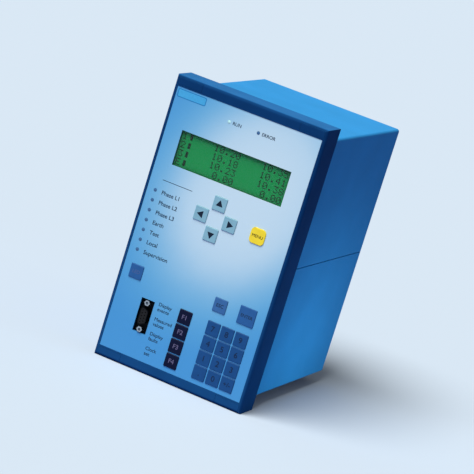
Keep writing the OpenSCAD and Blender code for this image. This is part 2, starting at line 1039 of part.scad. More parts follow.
// Hex posts with a threaded hole for the plug's screws
module d_posts() {
    for (end = [-1, 1])
        at(0, end * post_pitch / 2)
            difference() {
                union() {
                    front_extrude(-post_h, 0)
                        circle(r = post_r, $fn = 6);
                    rod(post_shank_r, -bite, port_t + post_shank_len);
                }
                rod(post_bore_r, -post_h - cut, -bite);
            }
}

module at_port() {
    translate([port_x, port_front_y, port_z])
        children();
}

module at_sync() {
    translate([column_x, case_depth + port_t, sync_z])
        rotate([0, 0, 180])
            children();
}

module port_shell() {
    color(steel)
        at_port()
            d_shell();
}

// The service port's insert and the rear port's
module port_insert() {
    color(black) {
        at_port()
            d_insert(board_front_y - port_front_y);
        at_sync()
            d_insert(port_t + rear_t + sync_body);
    }
}

module port_jackscrews() {
    color(bright_steel)
        at_port()
            d_posts();
}

module sync_port() {
    color(steel)
        at_sync() {
            d_shell();
            d_posts();
        }
}

// Barrier between two terminal rows, with bevelled rear corners
module barrier(base_y) {
    half = block_w / 2;
    top_y = base_y + barrier_h;
    top_extrude(barrier_t)
        polygon([
            [-half, base_y - bite], [-half, top_y - barrier_bevel], [-half + barrier_bevel, top_y],
            [half - barrier_bevel, top_y], [half, top_y - barrier_bevel], [half, base_y - bite]
        ]);
}

// Barrier terminal block: base on the rear wall, barriers between rows, neck through the wall
module terminal_block(rows, pitch, screw_r) {
    h = block_h(rows, pitch);
    base_y = case_depth + block_base;
    difference() {
        union() {
            block(block_w, h, case_depth, base_y);
            for (i = [0 : rows])
                at(0, (i - rows / 2) * pitch)
                    barrier(base_y);
            block(neck_w, h - 2 * neck_inset, plug_y, case_depth + bite);
        }
        for (i = [0 : rows - 1], side = [-1, 1])
            at(side * terminal_dx, (i - (rows - 1) / 2) * pitch)
                rod(screw_r + thread_gap, base_y - pilot_depth, base_y + cut);
    }
}

module signal_terminal_blocks() {
    color(black)
        for (side = [-1, 1])
            at(side * column_x, signal_z)
                terminal_block(signal_rows, signal_pitch, signal_screw_r);
}

module current_terminal_block() {
    color(black)
        at(-column_x, current_z)
            terminal_block(current_rows, current_pitch, current_screw_r);
}

// Two columns of screws with captive washers on a terminal block
module screw_rows(rows, pitch, shank_r, washer_r) {
    base_y = case_depth + block_base;
    for (i = [0 : rows - 1], side = [-1, 1])
        at(side * terminal_dx, (i - (rows - 1) / 2) * pitch) {
            rod(washer_r, base_y, base_y + washer_t);
            rear_screw(base_y + washer_t, shank_r, washer_t + terminal_shank, washer_r * [0.75, 0.6]);
        }
}

module terminal_screws() {
    color(steel) {
        for (side = [-1, 1])
            at(side * column_x, signal_z)
                screw_rows(signal_rows, signal_pitch, signal_screw_r, signal_washer_r);
        at(-column_x, current_z)
            screw_rows(current_rows, current_pitch, current_screw_r, current_washer_r);
    }
}

// Bayonet socket for glass fibre: flange on the rear wall, barrel with two lugs
module optical_port() {
    difference() {
        union() {
            rod(optical_body_r, wall_y - optical_body_len, case_depth + bite);
            rod(optical_flange_r, case_depth, case_depth + optical_flange_t);
            rod(barrel_r, case_depth + bite, case_depth + barrel_h);
            for (side = [-1, 1])
                translate([0, case_depth + lug_h, 0])
                    rotate([0, side * 90, 0])
                        cylinder(r = lug_r, h = barrel_r + lug_reach);
        }
        rod(ferrule_r, case_depth + ferrule_floor, case_depth + barrel_h + cut);
    }
}

module optical_ports() {
    color(bright_steel)
        for (p = OPTICALS)
            at(p[0], p[1])
                optical_port();
}

// Printed board of a module, between its card guides
module module_board() {
    board_back_edge = plug_y - board_back_gap;
    block(board_t, 2 * board_half_h, board_front_edge, board_back_edge);
}

// Plug on a board that takes the neck of a terminal block
module board_plug(z, h) {
    at(0, z)
        block(neck_w, h - 2 * neck_inset, plug_y - plug_body, plug_y);
}

module cpu_board() {
    color(board_green)
        at(column_x, 0) {
            module_board();
            board_plug(signal_z, signal_h);
            at(-board_t / 2 - (header_h - bite) / 2, 0)
                translate([0, cpu_header_y, 0])
                    block(header_h + bite, header_len, -header_w / 2, header_w / 2);
        }
}

module io_board() {
    color(board_green)
        at(-column_x, 0) {
            module_board();
            board_plug(signal_z, signal_h);
            board_plug(current_z, current_h);
        }
}

// Places a component on a board's inner face: its foot at x = 0, its height towards the middle
module on_board(side, y, z) {
    translate([side * board_pitch / 2, board_front_edge + y, z])
        rotate([0, 0, side > 0 ? 180 : 0])
            children();
}

// Flat body with its foot at x = 0
module chip(w, h, t) {
    translate([0, -w / 2, -h / 2])
        cube([t, w, h]);
}

// Iron core with its winding standing out above and below
module transformer(w, h, t) {
    chip(w, h * 0.62, t);
    translate([t * 0.12, 0, 0])
        chip(w * 0.72, h, t * 0.76);
}

module cpu_components() {
    color(black) {
        on_board(1, processor_y, processor_z)
            chip(processor_w, processor_w, processor_t);
        for (side = [-1, 1])
            on_board(1, memory_y, processor_z + side * memory_pitch / 2)
                chip(memory_w, memory_h, memory_t);
        on_board(1, supply_y, supply_z)
            transformer(supply_w, supply_h, component_h);
        for (i = [-1 : 1])
            on_board(1, can_y, supply_z + i * can_pitch)
                rotate([0, 90, 0])
                    cylinder(r = can_r, h = component_h);
    }
}

// Round cell in a clip-on holder
module buffer_battery() {
    color(steel)
        on_board(1, battery_y, board_half_h - battery_drop) {
            chip(holder_w, holder_len, holder_t);
            translate([holder_t + battery_r - bite, 0, -battery_len / 2])
                cylinder(r = battery_r, h = battery_len);
        }
}

module input_transformers() {
    color(black)
        for (i = [0, 1], side = [-1, 1])
            on_board(-1, input_y + i * input_dy, current_z + side * input_dz / 2)
                transformer(input_w, input_h, component_h);
}

module output_relays() {
    color(ivory)
        for (i = [0 : 2], row = [-1.5 : 1.5])
            on_board(-1, relay_y + i * relay_dy, signal_z + row * relay_dz)
                chip(relay_len, relay_w, relay_t);
}

// Grooved rails on the case's roof and floor
module card_guide() {
    roof_z = case_h / 2 - sheet_t;
    difference() {
        at(0, roof_z - guide_h / 2)
            block(guide_w, guide_h, bracket_leg + guide_gap, plug_y - guide_end);
        at(0, roof_z - guide_h)
            block(board_t + 2 * fit, 2 * guide_slot, bracket_leg, plug_y);
    }
}

module card_guides() {
    color(ivory)
        for (side = [-1, 1], turn = [0, 180])
            at(side * column_x, 0)
                rotate([0, turn, 0])
                    card_guide();
}

// Flat cable that turns from the front board's header to the processor module's header
module ribbon_cable() {
    start_y = board_back_y + header_h;
    end_x = column_x - board_t / 2 - header_h;
    turn_y = cpu_header_y - ribbon_r;
    color(cable_grey)
        top_extrude(ribbon_w) {
            translate([header_x - ribbon_t / 2, start_y])
                square([ribbon_t, turn_y - start_y]);
            translate([header_x + ribbon_r, turn_y])
                intersection() {
                    difference() {
                        circle(r = ribbon_r + ribbon_t / 2);
                        circle(r = ribbon_r - ribbon_t / 2);
                    }
                    translate([-2 * ribbon_r, 0])
                        square(2 * ribbon_r);
                }
            translate([header_x + ribbon_r, cpu_header_y - ribbon_t / 2])
                square([end_x - header_x - ribbon_r, ribbon_t]);
        }
}

upper_shell();
lower_shell();
rear_wall();
rear_wall_screws();
earth_terminal();
mounting_bracket_top();
mounting_bracket_bottom();
front_frame();
front_foil();
corner_covers();
frame_screws();
display_lens();
display_cell();
display_carrier();
run_lamp();
error_lamp();
signal_lamps();
front_board();
front_board_screws();
key_switches();
port_shell();
port_insert();
port_jackscrews();
signal_terminal_blocks();
current_terminal_block();
terminal_screws();
optical_ports();
sync_port();
cpu_board();
cpu_components();
buffer_battery();
io_board();
input_transformers();
output_relays();
card_guides();
ribbon_cable();
for (key = KEYS)
    push_key(key);
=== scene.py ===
import math

import bmesh
import bpy
from bpy.props import FloatProperty, FloatVectorProperty, PointerProperty
from mathutils import Matrix, Vector


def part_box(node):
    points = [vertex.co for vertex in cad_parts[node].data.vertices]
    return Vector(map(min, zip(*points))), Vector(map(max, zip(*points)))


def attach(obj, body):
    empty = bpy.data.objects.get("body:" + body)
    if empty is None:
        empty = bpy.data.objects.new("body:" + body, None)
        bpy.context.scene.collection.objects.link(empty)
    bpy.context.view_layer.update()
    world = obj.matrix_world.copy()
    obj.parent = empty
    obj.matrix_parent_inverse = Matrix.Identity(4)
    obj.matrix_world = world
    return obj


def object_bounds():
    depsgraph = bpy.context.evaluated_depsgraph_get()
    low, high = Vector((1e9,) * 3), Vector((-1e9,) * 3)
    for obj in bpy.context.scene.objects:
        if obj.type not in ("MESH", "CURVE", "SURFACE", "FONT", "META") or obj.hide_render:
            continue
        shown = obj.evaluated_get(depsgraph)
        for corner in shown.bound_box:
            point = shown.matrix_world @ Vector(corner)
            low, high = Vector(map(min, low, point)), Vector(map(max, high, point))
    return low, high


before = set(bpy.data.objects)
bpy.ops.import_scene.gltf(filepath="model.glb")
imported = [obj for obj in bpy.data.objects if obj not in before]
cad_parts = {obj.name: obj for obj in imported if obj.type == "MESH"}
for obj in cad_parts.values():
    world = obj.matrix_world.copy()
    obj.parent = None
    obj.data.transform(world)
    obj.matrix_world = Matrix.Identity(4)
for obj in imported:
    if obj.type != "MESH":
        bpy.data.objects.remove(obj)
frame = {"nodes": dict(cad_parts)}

CAD_BOX = [list(corner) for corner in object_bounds()]

bl_info = {
    "name": "Protection relay finish",
    "version": (1, 0, 0),
    "blender": (4, 5, 0),
    "location": "3D View > Sidebar > Relay",
    "description": "Paints, prints and lights a flush-mounted protection relay",
    "category": "Object",
}

MM = 0.001

# Shares of the font's size: height of its capitals, step by which strokes are set out, half the thickness
# that a letter then has, and the edges and faces that are too small to keep
CAPITAL = 0.682
STROKE = 0.022
HALF_LETTER = 1.5 * STROKE
SHORT_EDGE = 0.006
THIN_FACE = 0.004

# Turns of a print that lies on the front and of one that lies on the rear
FRONT = (math.pi / 2, 0, 0)
REAR = (math.pi / 2, 0, math.pi)

# Shares of their sizes: corners of the arrows and of the line above the lamps, bare rim of a display dot
ARROW_CORNER = 0.08
RULE_CORNER = 0.45
DOT_RIM = 0.02

# Earth sign, as shares of its height: line, corner, distance from the screw, stem, bars and step between bars
EARTH_LINE = 0.1
EARTH_CORNER = 0.03
EARTH_GAP = 1.6
EARTH_STEM = 0.5
EARTH_BARS = (0.9, 0.6, 0.3)
EARTH_STEP = 0.22

# Values between which most of a noise pattern lies
NOISE_LOW = 0.3
NOISE_HIGH = 0.7

# Frame's painted light: how far a face looks ahead or up before painted light turns it paler, and the front's
# dark and pale heights, between which painted light grows downwards
LOOKS_AHEAD = 0.7
LOOKS_UP = 0.8
FRONT_DARK = 60 * MM
FRONT_PALE = -110 * MM

# Frame's uneven tone: the shades that it drifts between and the width of its patches
FRAME_SHADES = (0.92, 1.08)
FRAME_PATCH = 25 * MM

# Foil's painted pool of light: where its deep, middle and light tones stand on the way in to the painted
# bright spot, how far they drift and the width of the patches in which they do
FOIL_STOPS = (0.14, 0.4, 0.63)
FOIL_DRIFT = 0.015
FOIL_PATCH = 18 * MM

# Powers that make the display's painted shade at its rim narrow at its ends and wider along its long edges
RIM_ENDS = 16.0
RIM_LONG = 7.0

# Flat cable: distance between its wires, and waves that the wave texture has for each unit of its scale
WIRE_PITCH = 1.27 * MM
WAVES = 20 / math.tau

# Stage, sizes in metres: direction of the sun, side lamp's place from its aim, its radius, the share of the
# lower shell's height at which it aims, floor and far limit of the camera's sight
SUN_FROM = Vector((-0.2, -0.41, 0.89))
SIDE_LAMP_FROM = Vector((1.2, 0.1, 0.06))
SIDE_LAMP_RADIUS = 0.1
SIDE_LAMP_AIM = 0.17
FLOOR_SIZE = 40
SIGHT_END = 100


def linear(hex_colour):
    """Turns an sRGB hex colour to linear red, green and blue."""
    shares = [int(hex_colour[i:i + 2], 16) / 255 for i in (1, 3, 5)]
    return tuple(s / 12.92 if s <= 0.04045 else ((s + 0.055) / 1.055) ** 2.4 for s in shares)


def colour(name, description, hex_colour):
    """A colour that a user can change, with its default as a hex value."""
    return FloatVectorProperty(
        name=name, description=description, default=linear(hex_colour), min=0, max=1, size=3, subtype="COLOR"
    )


def length(name, description, millimetres):
    """A size that a user can change, with its default in millimetres."""
    return FloatProperty(
        name=name, description=description, default=millimetres * MM, min=0, precision=5, unit="LENGTH"
    )


def angle(name, description, degrees):
    """An angle that a user can change, with its default in degrees."""
    return FloatProperty(name=name, description=description, default=math.radians(degrees), subtype="ANGLE")


# Settings


class RelayColours(bpy.types.PropertyGroup):
    """Colours of the relay's finishes"""

    case: colour("Case", "Enamel of the case's two halves and its rear wall", "#2c83bc")
    frame: colour("Front frame", "Moulded plastic round the foil", "#0f3966")
    # The next two colours are painted light, not the plastic's own colour: the front is painted paler low
    # down, and faces that look up are painted paler, as if lit from above
    frame_low: colour("Front frame, low", "Moulded plastic at the front's lower end", "#184a79")
    frame_top: colour("Front frame, top", "Moulded plastic on the faces that look up", "#246095")
    # The foil's three tones are its blue print under a painted pool of light, brightest at the spot at upper
    # right
    foil_light: colour("Foil, light", "Print at the bright spot of the foil", "#c9e2e7")
    foil_middle: colour("Foil, middle", "Print half way out of the bright spot", "#68b4d5")
    foil_deep: colour("Foil, deep", "Print far from the bright spot", "#4899cd")
    display: colour("Display", "Lit ground of the display", "#118b43")
    # Painted shade: the display's ground is painted darker along its edges, where the recess shades it
    display_edge: colour("Display edge", "Ground along the display's edges", "#0d4526")
    display_dot: colour("Display dots", "Dark dots of the characters", "#05200f")
    lamp_lit: colour("Lit lamp", "Lens of the run lamp, which is on", "#b4e2dc")
    lamp_dark: colour("Dark lamps", "Lenses of the lamps that are off", "#2a608e")
    key_arrow: colour("Arrow keys", "Caps of the four arrow keys", "#86b5c0")
    key_menu: colour("Menu key", "Cap of the menu key", "#fcdf39")
    key_escape: colour("Escape key", "Cap of the escape key", "#3b699b")
    key_command: colour("Command keys", "Caps of the enter and lamp keys", "#2c5e94")
    key_number: colour("Number keys", "Caps of the keypad", "#1d4d80")
    key_function: colour("Function keys", "Caps of the four function keys", "#080f2c")
    ink_dark: colour("Dark ink", "Words on the foil and the command keys", "#16293f")
    ink_brown: colour("Brown ink", "Word on the menu key", "#33240a")
    ink_black: colour("Black ink", "Arrows", "#06182c")
    ink_navy: colour("Navy ink", "Digits on the keypad", "#0b2444")
    ink_pale: colour("Pale ink", "Words on the dark keys", "#66627e")
    ink_dim: colour("Dim ink", "Word on the lamp key", "#4a6290")
    ink_white: colour("White ink", "Digits on the terminal blocks", "#d6d8da")
    ink_earth: colour("Earth sign ink", "Earth sign on the rear wall", "#e8eaec")
    ink_field: colour("Name field", "Blank field in the foil's corner", "#46a9d6")
    ink_border: colour("Name field border", "Border of the blank field", "#1f78ad")


class RelayPrint(bpy.types.PropertyGroup):
    """Sizes of the relay's prints"""

    ink: length("Ink thickness", "Thickness of the raised ink", 0.08)
    status_letter: length("Status letters", "Capitals beside the two status lamps", 2.9)
    lamp_letter: length("Lamp letters", "Capitals beside the signal lamps", 3.6)
    function_letter: length("Function letters", "Capitals beside the function keys", 3.1)
    function_line: length("Function lines", "Distance between the two lines beside a key", 4.8)
    lamp_gap: length("Lamp gap", "From a lamp's middle to its words", 6.5)
    status_gap: length("Status gap", "From a status lamp's middle to its word", 3.5)
    port_gap: length("Port gap", "From the service port to the function keys' words", 4.4)
    arrow_size: length("Arrow size", "Radius of an arrow's corners", 3.9)
    field_width: length("Field width", "Width of the blank name field", 28.5)
    field_height: length("Field height", "Height of the blank name field", 7.6)
    field_inset: length("Field inset", "From the foil's corner to the name field", 1.5)
    field_border: length("Field border", "Width of the name field's border", 0.7)
    rule_length: length("Rule length", "Length of the line above the signal lamps", 30)
    rule_width: length("Rule width", "Width of the line above the signal lamps", 0.5)
    rule_rise: length("Rule rise", "From the highest signal lamp to the line above it", 11)
    display_inset: length("Display inset", "From the display cell's edge to its characters", 2.6)
    terminal_letter: length("Terminal digits", "Digits on the terminal blocks", 2.2)
    terminal_inset: length("Terminal inset", "From a block's edge to its digits", 2)
    earth_size: length("Earth sign", "Height of the earth sign", 9)
    # The bright spot is a painted pool of light on the foil, not part of its print
    spot_right: length("Spot right", "From the foil's middle to its bright spot, to the right", 24)
    spot_up: length("Spot up", "From the foil's middle to its bright spot, upwards", 54)
    spot_width: length("Spot width", "How far the foil's bright spot reaches across", 129)
    spot_height: length("Spot height", "How far the foil's bright spot reaches up and down", 178)
    spot_turn: angle("Spot turn", "Tilt of the foil's bright spot", 26)


class RelayStage(bpy.types.PropertyGroup):
    """Camera and light"""

    yaw: angle("Yaw", "Turn of the camera to the right of the front", 19.93)
    pitch: angle("Pitch", "Height of the camera over the horizon", 12.25)
    roll: angle("Roll", "Tilt of the picture", 17.35)
    distance: FloatProperty(
        name="Distance", description="From the camera to the relay's middle",
        default=2.4587, unit="LENGTH",
    )
    lens: FloatProperty(
        name="Lens", description="Focal length on a 36 mm sensor", default=204.1, unit="CAMERA",
    )
    aim_left: length("Aim left", "How far the camera aims to the left of the relay's middle", 13.4)
    aim_low: length("Aim low", "How far the camera aims below the relay's middle", 2.4)
    aim_depth: length("Aim depth", "Depth of the relay's middle behind the panel", 70.5)
    world_light: FloatProperty(
        name="World light", description="Strength of the even light from all round", default=0.21, min=0,
    )
    sun_light: FloatProperty(
        name="Soft lamp", description="Strength of the soft lamp above the front", default=4.6, min=0,
    )
    sun_spread: angle("Lamp spread", "Angle that the soft lamp covers", 35)
    side_light: FloatProperty(
        name="Side lamp", description="Power of the low lamp at the right side",
        default=46, min=0, unit="POWER",
    )
    side_spread: angle("Side lamp spread", "Angle that the low lamp covers", 13.5)
    side_tint: colour("Side lamp tint", "Colour of the low lamp's light", "#e7f7ff")
    floor: colour("Floor", "Plain pale floor", "#b5c1cc")
    floor_bounce: colour("Floor bounce", "Floor as it throws light back to the relay", "#8187b6")
    background: colour("Background", "Pale background over the floor", "#dce8f3")


class RelaySettings(bpy.types.PropertyGroup):
    """All settings of the relay"""

    colours: PointerProperty(type=RelayColours, name="Colours", description="Colours of the finishes")
    prints: PointerProperty(type=RelayPrint, name="Prints", description="Sizes of the prints")
    stage: PointerProperty(type=RelayStage, name="Stage", description="Camera and light")


# Materials


def add_node(tree, kind, inputs=None, **settings):
    """Adds a shader node. Inputs are values, or outputs of other nodes to link."""
    node = tree.nodes.new(kind)
    for name, value in settings.items():
        setattr(node, name, value)
    for socket, value in (inputs or {}).items():
        if isinstance(value, bpy.types.NodeSocket):
            tree.links.new(value, node.inputs[socket])
        else:
            node.inputs[socket].default_value = value
    return node


def rgba(rgb, shade=1.0):
    """A colour with full cover, made lighter or darker by a factor."""
    return (*(min(channel * shade, 1.0) for channel in rgb), 1.0)


def start_material(name, **sockets):
    """Starts a material: returns it with its tree, its shader and Object coordinates."""
    material = bpy.data.materials.new(name)
    material.use_nodes = True
    tree = material.node_tree
    shader = tree.nodes["Principled BSDF"]
    for socket, value in sockets.items():
        shader.inputs[socket.replace("_", " ")].default_value = value
    place = add_node(tree, "ShaderNodeTexCoord").outputs["Object"]
    return material, tree, shader, place


def set_relief(tree, shader, place, grain, depth, detail=2.0):
    """Gives a surface a grain that is this many millimetres wide and deep. Returns the grain's pattern."""
    noise = add_node(
        tree, "ShaderNodeTexNoise", {"Vector": place, "Scale": 1 / (grain * MM), "Detail": detail}
    )
    bump = add_node(tree, "ShaderNodeBump", {"Height": noise.outputs["Fac"], "Distance": depth * MM})
    tree.links.new(bump.outputs["Normal"], shader.inputs["Normal"])
    return noise.outputs["Fac"]


def set_roughness(tree, shader, pattern, low, high):
    """Lets the roughness follow a pattern between two values."""
    span = add_node(tree, "ShaderNodeMapRange", {"Value": pattern, "To Min": low, "To Max": high})
    tree.links.new(span.outputs["Result"], shader.inputs["Roughness"])


def set_tone(tree, shader, place, rgb, patch, shades):
    """Lets the colour drift between two shades, over patches this many millimetres wide."""
    noise = add_node(
        tree, "ShaderNodeTexNoise", {"Vector": place, "Scale": 1 / (patch * MM), "Detail": 3.0}
    )
    ramp = add_node(tree, "ShaderNodeValToRGB", {"Fac": noise.outputs["Fac"]})
    ramp.color_ramp.elements[0].position = NOISE_LOW
    ramp.color_ramp.elements[1].position = NOISE_HIGH
    ramp.color_ramp.elements[0].color = rgba(rgb, shades[0])
    ramp.color_ramp.elements[1].color = rgba(rgb, shades[1])
    tree.links.new(ramp.outputs["Color"], shader.inputs["Base Color"])


def baked_enamel(name, rgb):
    """Steel with sprayed and baked enamel: satin, with a soft orange peel that breaks up highlights."""
    material, tree, shader, place = start_material(name, Specular_IOR_Level=0.005)
    pattern = set_relief(tree, shader, place, grain=1.6, depth=0.02, detail=1.0)
    set_roughness(tree, shader, pattern, 0.42, 0.54)
    set_tone(tree, shader, place, rgb, patch=35, shades=(0.96, 1.04))
    return material


def eroded_abs(name, colours):
    """ABS moulded in a spark-eroded tool: a dull dark blue of fine grain, with painted light that makes it
    paler low in front and on top.
    """
    material, tree, shader, place = start_material(name, Specular_IOR_Level=0.002)
    # The real grain is 0.2 mm wide and is drawn at 0.7 mm, so that it shows
    pattern = set_relief(tree, shader, place, grain=0.7, depth=0.02)
    set_roughness(tree, shader, pattern, 0.42, 0.56)
    height = add_node(tree, "ShaderNodeSeparateXYZ", {"Vector": place}).outputs["Z"]
    direction = add_node(tree, "ShaderNodeTexCoord").outputs["Normal"]
    sides = add_node(tree, "ShaderNodeSeparateXYZ", {"Vector": direction})
    # Painted light: faces that look ahead are painted paler from high to low, and those that look up are
    # painted paler all over, as if lit from above
    ahead = add_node(tree, "ShaderNodeMapRange", {
        "Value": sides.outputs["Y"], "From Min": -LOOKS_AHEAD, "From Max": -1.0,
    })
    below = add_node(tree, "ShaderNodeMapRange", {
        "Value": height, "From Min": FRONT_DARK, "From Max": FRONT_PALE, "To Max": ahead.outputs["Result"],
    })
    above = add_node(tree, "ShaderNodeMapRange", {
        "Value": sides.outputs["Z"], "From Min": LOOKS_UP, "From Max": 1.0,
    })
    front = add_node(tree, "ShaderNodeMix", {
        "Factor": below.outputs["Result"], "A": rgba(colours.frame), "B": rgba(colours.frame_low),
    }, data_type="RGBA")
    tone = add_node(tree, "ShaderNodeMix", {
        "Factor": above.outputs["Result"], "A": front.outputs["Result"], "B": rgba(colours.frame_top),
    }, data_type="RGBA")
    cloud = add_node(tree, "ShaderNodeTexNoise", {"Vector": place, "Scale": 1 / FRAME_PATCH, "Detail": 3.0})
    drift = add_node(tree, "ShaderNodeMapRange", {
        "Value": cloud.outputs["Fac"], "From Min": NOISE_LOW, "From Max": NOISE_HIGH,
        "To Min": FRAME_SHADES[0], "To Max": FRAME_SHADES[1],
    })
    shade = add_node(tree, "ShaderNodeMix", {
        "Factor": 1.0, "A": tone.outputs["Result"], "B": drift.outputs["Result"],
    }, data_type="RGBA", blend_type="MULTIPLY")
    tree.links.new(shade.outputs["Result"], shader.inputs["Base Color"])
    return material


def printed_polyester(name, colours, prints):
    """Polyester foil, screen printed from behind, with a painted pool of light: a bright spot at upper right
    that fades to blue.
    """
    material, tree, shader, place = start_material(name, Specular_IOR_Level=0.3)
    # The painted light spot reaches a whole metre in depth, so that only the place across and up counts
    spot = add_node(tree, "ShaderNodeMapping", {
        "Vector": place,
        "Location": (prints.spot_right, 0, prints.spot_up),
        "Rotation": (0, prints.spot_turn, 0),
        "Scale": (prints.spot_width, 1, prints.spot_height),
    }, vector_type="TEXTURE")
    fade = add_node(tree, "ShaderNodeTexGradient", {
        "Vector": spot.outputs["Vector"],
    }, gradient_type="SPHERICAL")
    # A faint cloud keeps the fade from looking drawn
    cloud = add_node(tree, "ShaderNodeTexNoise", {"Vector": place, "Scale": 1 / FOIL_PATCH, "Detail": 2.0})
    drift = add_node(tree, "ShaderNodeMapRange", {
        "Value": cloud.outputs["Fac"], "To Min": -FOIL_DRIFT, "To Max": FOIL_DRIFT,
    })
    way_in = add_node(tree, "ShaderNodeMath", {
        0: fade.outputs["Fac"], 1: drift.outputs["Result"],
    }, operation="ADD")
    ramp = add_node(tree, "ShaderNodeValToRGB", {"Fac": way_in.outputs["Value"]})
    ramp.color_ramp.interpolation = "B_SPLINE"
    tones = (colours.foil_deep, colours.foil_middle, colours.foil_light)
    while len(ramp.color_ramp.elements) < len(tones):
        ramp.color_ramp.elements.new(FOIL_STOPS[1])
    for element, position, rgb in zip(ramp.color_ramp.elements, FOIL_STOPS, tones):
        element.position = position
        element.color = rgba(rgb)
    tree.links.new(ramp.outputs["Color"], shader.inputs["Base Color"])
    # The foil's fine matt grain is drawn at 0.6 mm, so that it shows
    pattern = set_relief(tree, shader, place, grain=0.6, depth=0.006)
    set_roughness(tree, shader, pattern, 0.34, 0.46)
    return material


def backlit_glass(name, colours):
    """Liquid-crystal glass lit from behind: even green, with painted shade that darkens it towards the rim.
    """
    material, tree, shader, place = start_material(
        name, Specular_IOR_Level=0.1, Roughness=0.3, Coat_Weight=0.05, Coat_Roughness=0.12,
        Emission_Strength=0.05,
    )
    low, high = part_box("display_cell")
    middle = (low + high) / 2
    half = (high - low) / 2
    spot = add_node(tree, "ShaderNodeMapping", {
        "Vector": place, "Location": middle, "Scale": (half.x, 1, half.z),
    }, vector_type="TEXTURE")
    size = add_node(tree, "ShaderNodeVectorMath", {0: spot.outputs["Vector"]}, operation="ABSOLUTE")
    parts = add_node(tree, "ShaderNodeSeparateXYZ", {"Vector": size.outputs["Vector"]})
    rim_x = add_node(tree, "ShaderNodeMath", {0: parts.outputs["X"], 1: RIM_ENDS}, operation="POWER")
    rim_z = add_node(tree, "ShaderNodeMath", {0: parts.outputs["Z"], 1: RIM_LONG}, operation="POWER")
    rim = add_node(tree, "ShaderNodeMath", {
        0: rim_x.outputs["Value"], 1: rim_z.outputs["Value"],
    }, operation="MAXIMUM")
    # The rim takes the painted shade, in the colour and in the glow alike
    ramp = add_node(tree, "ShaderNodeValToRGB", {"Fac": rim.outputs["Value"]})
    ramp.color_ramp.elements[0].color = rgba(colours.display)
    ramp.color_ramp.elements[1].color = rgba(colours.display_edge)
    tree.links.new(ramp.outputs["Color"], shader.inputs["Base Color"])
    tree.links.new(ramp.outputs["Color"], shader.inputs["Emission Color"])
    return material


def cast_acrylic(name):
    """Clear cast acrylic: nearly unseen, with a cool tint and a clean gloss."""
    material, tree, shader, place = start_material(
        name, Alpha=0.03, IOR=1.49, Base_Color=rgba(linear("#7fae9c"))
    )
    pattern = set_relief(tree, shader, place, grain=30, depth=0.01, detail=0.0)
    set_roughness(tree, shader, pattern, 0.06, 0.12)
    return material


def tinted_lens(name, rgb, glow=0.0):
    """Moulded lens over a light source: smooth, deep colour, bright when the lamp behind it is lit."""
    material, tree, shader, place = start_material(
        name, IOR=1.49, Emission_Color=rgba(rgb), Emission_Strength=glow, Coat_Weight=0.5, Coat_Roughness=0.08
    )
    pattern = set_relief(tree, shader, place, grain=1.2, depth=0.004)
    set_roughness(tree, shader, pattern, 0.15, 0.25)
    set_tone(tree, shader, place, rgb, patch=2, shades=(0.85, 1.1))
    return material


def moulded_cap(name, rgb):
    """Key cap moulded in a matt tool: soft sheen, with a fine grain and slightly uneven tone."""
    material, tree, shader, place = start_material(name, Specular_IOR_Level=0.1)
    # The cap's grain is 0.15 mm wide and is drawn at 0.5 mm, so that it shows
    pattern = set_relief(tree, shader, place, grain=0.5, depth=0.012)
    set_roughness(tree, shader, pattern, 0.4, 0.52)
    set_tone(tree, shader, place, rgb, patch=6, shades=(0.94, 1.06))
    return material


def plated_steel(name, hex_colour, low, high, lines):
    """Steel with a bright plating: metal gloss, broken by drawing marks this many millimetres apart."""
    material, tree, shader, place = start_material(name, Metallic=1.0)
    stretch = add_node(tree, "ShaderNodeMapping", {"Vector": place, "Scale": (1, 0.12, 1)})
    pattern = set_relief(tree, shader, stretch.outputs["Vector"], grain=lines, depth=0.004, detail=4.0)
    set_roughness(tree, shader, pattern, low, high)
    set_tone(tree, shader, place, linear(hex_colour), patch=4, shades=(0.9, 1.08))
    return material


def filled_polyamide(name, hex_colour, gloss=0.35):
    """Polyamide with glass fibre: dull black, with pale streaks where fibres reach the surface."""
    material, tree, shader, place = start_material(name, Specular_IOR_Level=gloss)
    pattern = set_relief(tree, shader, place, grain=0.9, depth=0.03, detail=4.0)
    set_roughness(tree, shader, pattern, 0.45, 0.65)
    set_tone(tree, shader, place, linear(hex_colour), patch=3, shades=(0.75, 1.35))
    return material


def resist_laminate(name, hex_colour):
    """Glass-cloth laminate under solder resist: glossy green, with lighter lines where copper runs below."""
    material, tree, shader, place = start_material(name, Coat_Weight=0.4, Coat_Roughness=0.2)
    tracks = add_node(tree, "ShaderNodeTexBrick", {
        "Vector": place, "Scale": 1 / (5 * MM), "Mortar Size": 0.07, "Brick Width": 1.6, "Row Height": 0.5,
        "Color1": rgba(linear(hex_colour), 0.9), "Color2": rgba(linear(hex_colour)),
        "Mortar": rgba(linear(hex_colour), 1.5),
    })
    tree.links.new(tracks.outputs["Color"], shader.inputs["Base Color"])
    pattern = set_relief(tree, shader, place, grain=1.2, depth=0.02)
    set_roughness(tree, shader, pattern, 0.3, 0.42)
    return material


def moulded_polyester(name, hex_colour):
    """Moulded polyester of component bodies: dull and even, with a sandy grain."""
    material, tree, shader, place = start_material(name, Specular_IOR_Level=0.4)
    pattern = set_relief(tree, shader, place, grain=0.8, depth=0.02)
    set_roughness(tree, shader, pattern, 0.45, 0.6)
    set_tone(tree, shader, place, linear(hex_colour), patch=8, shades=(0.9, 1.1))
    return material


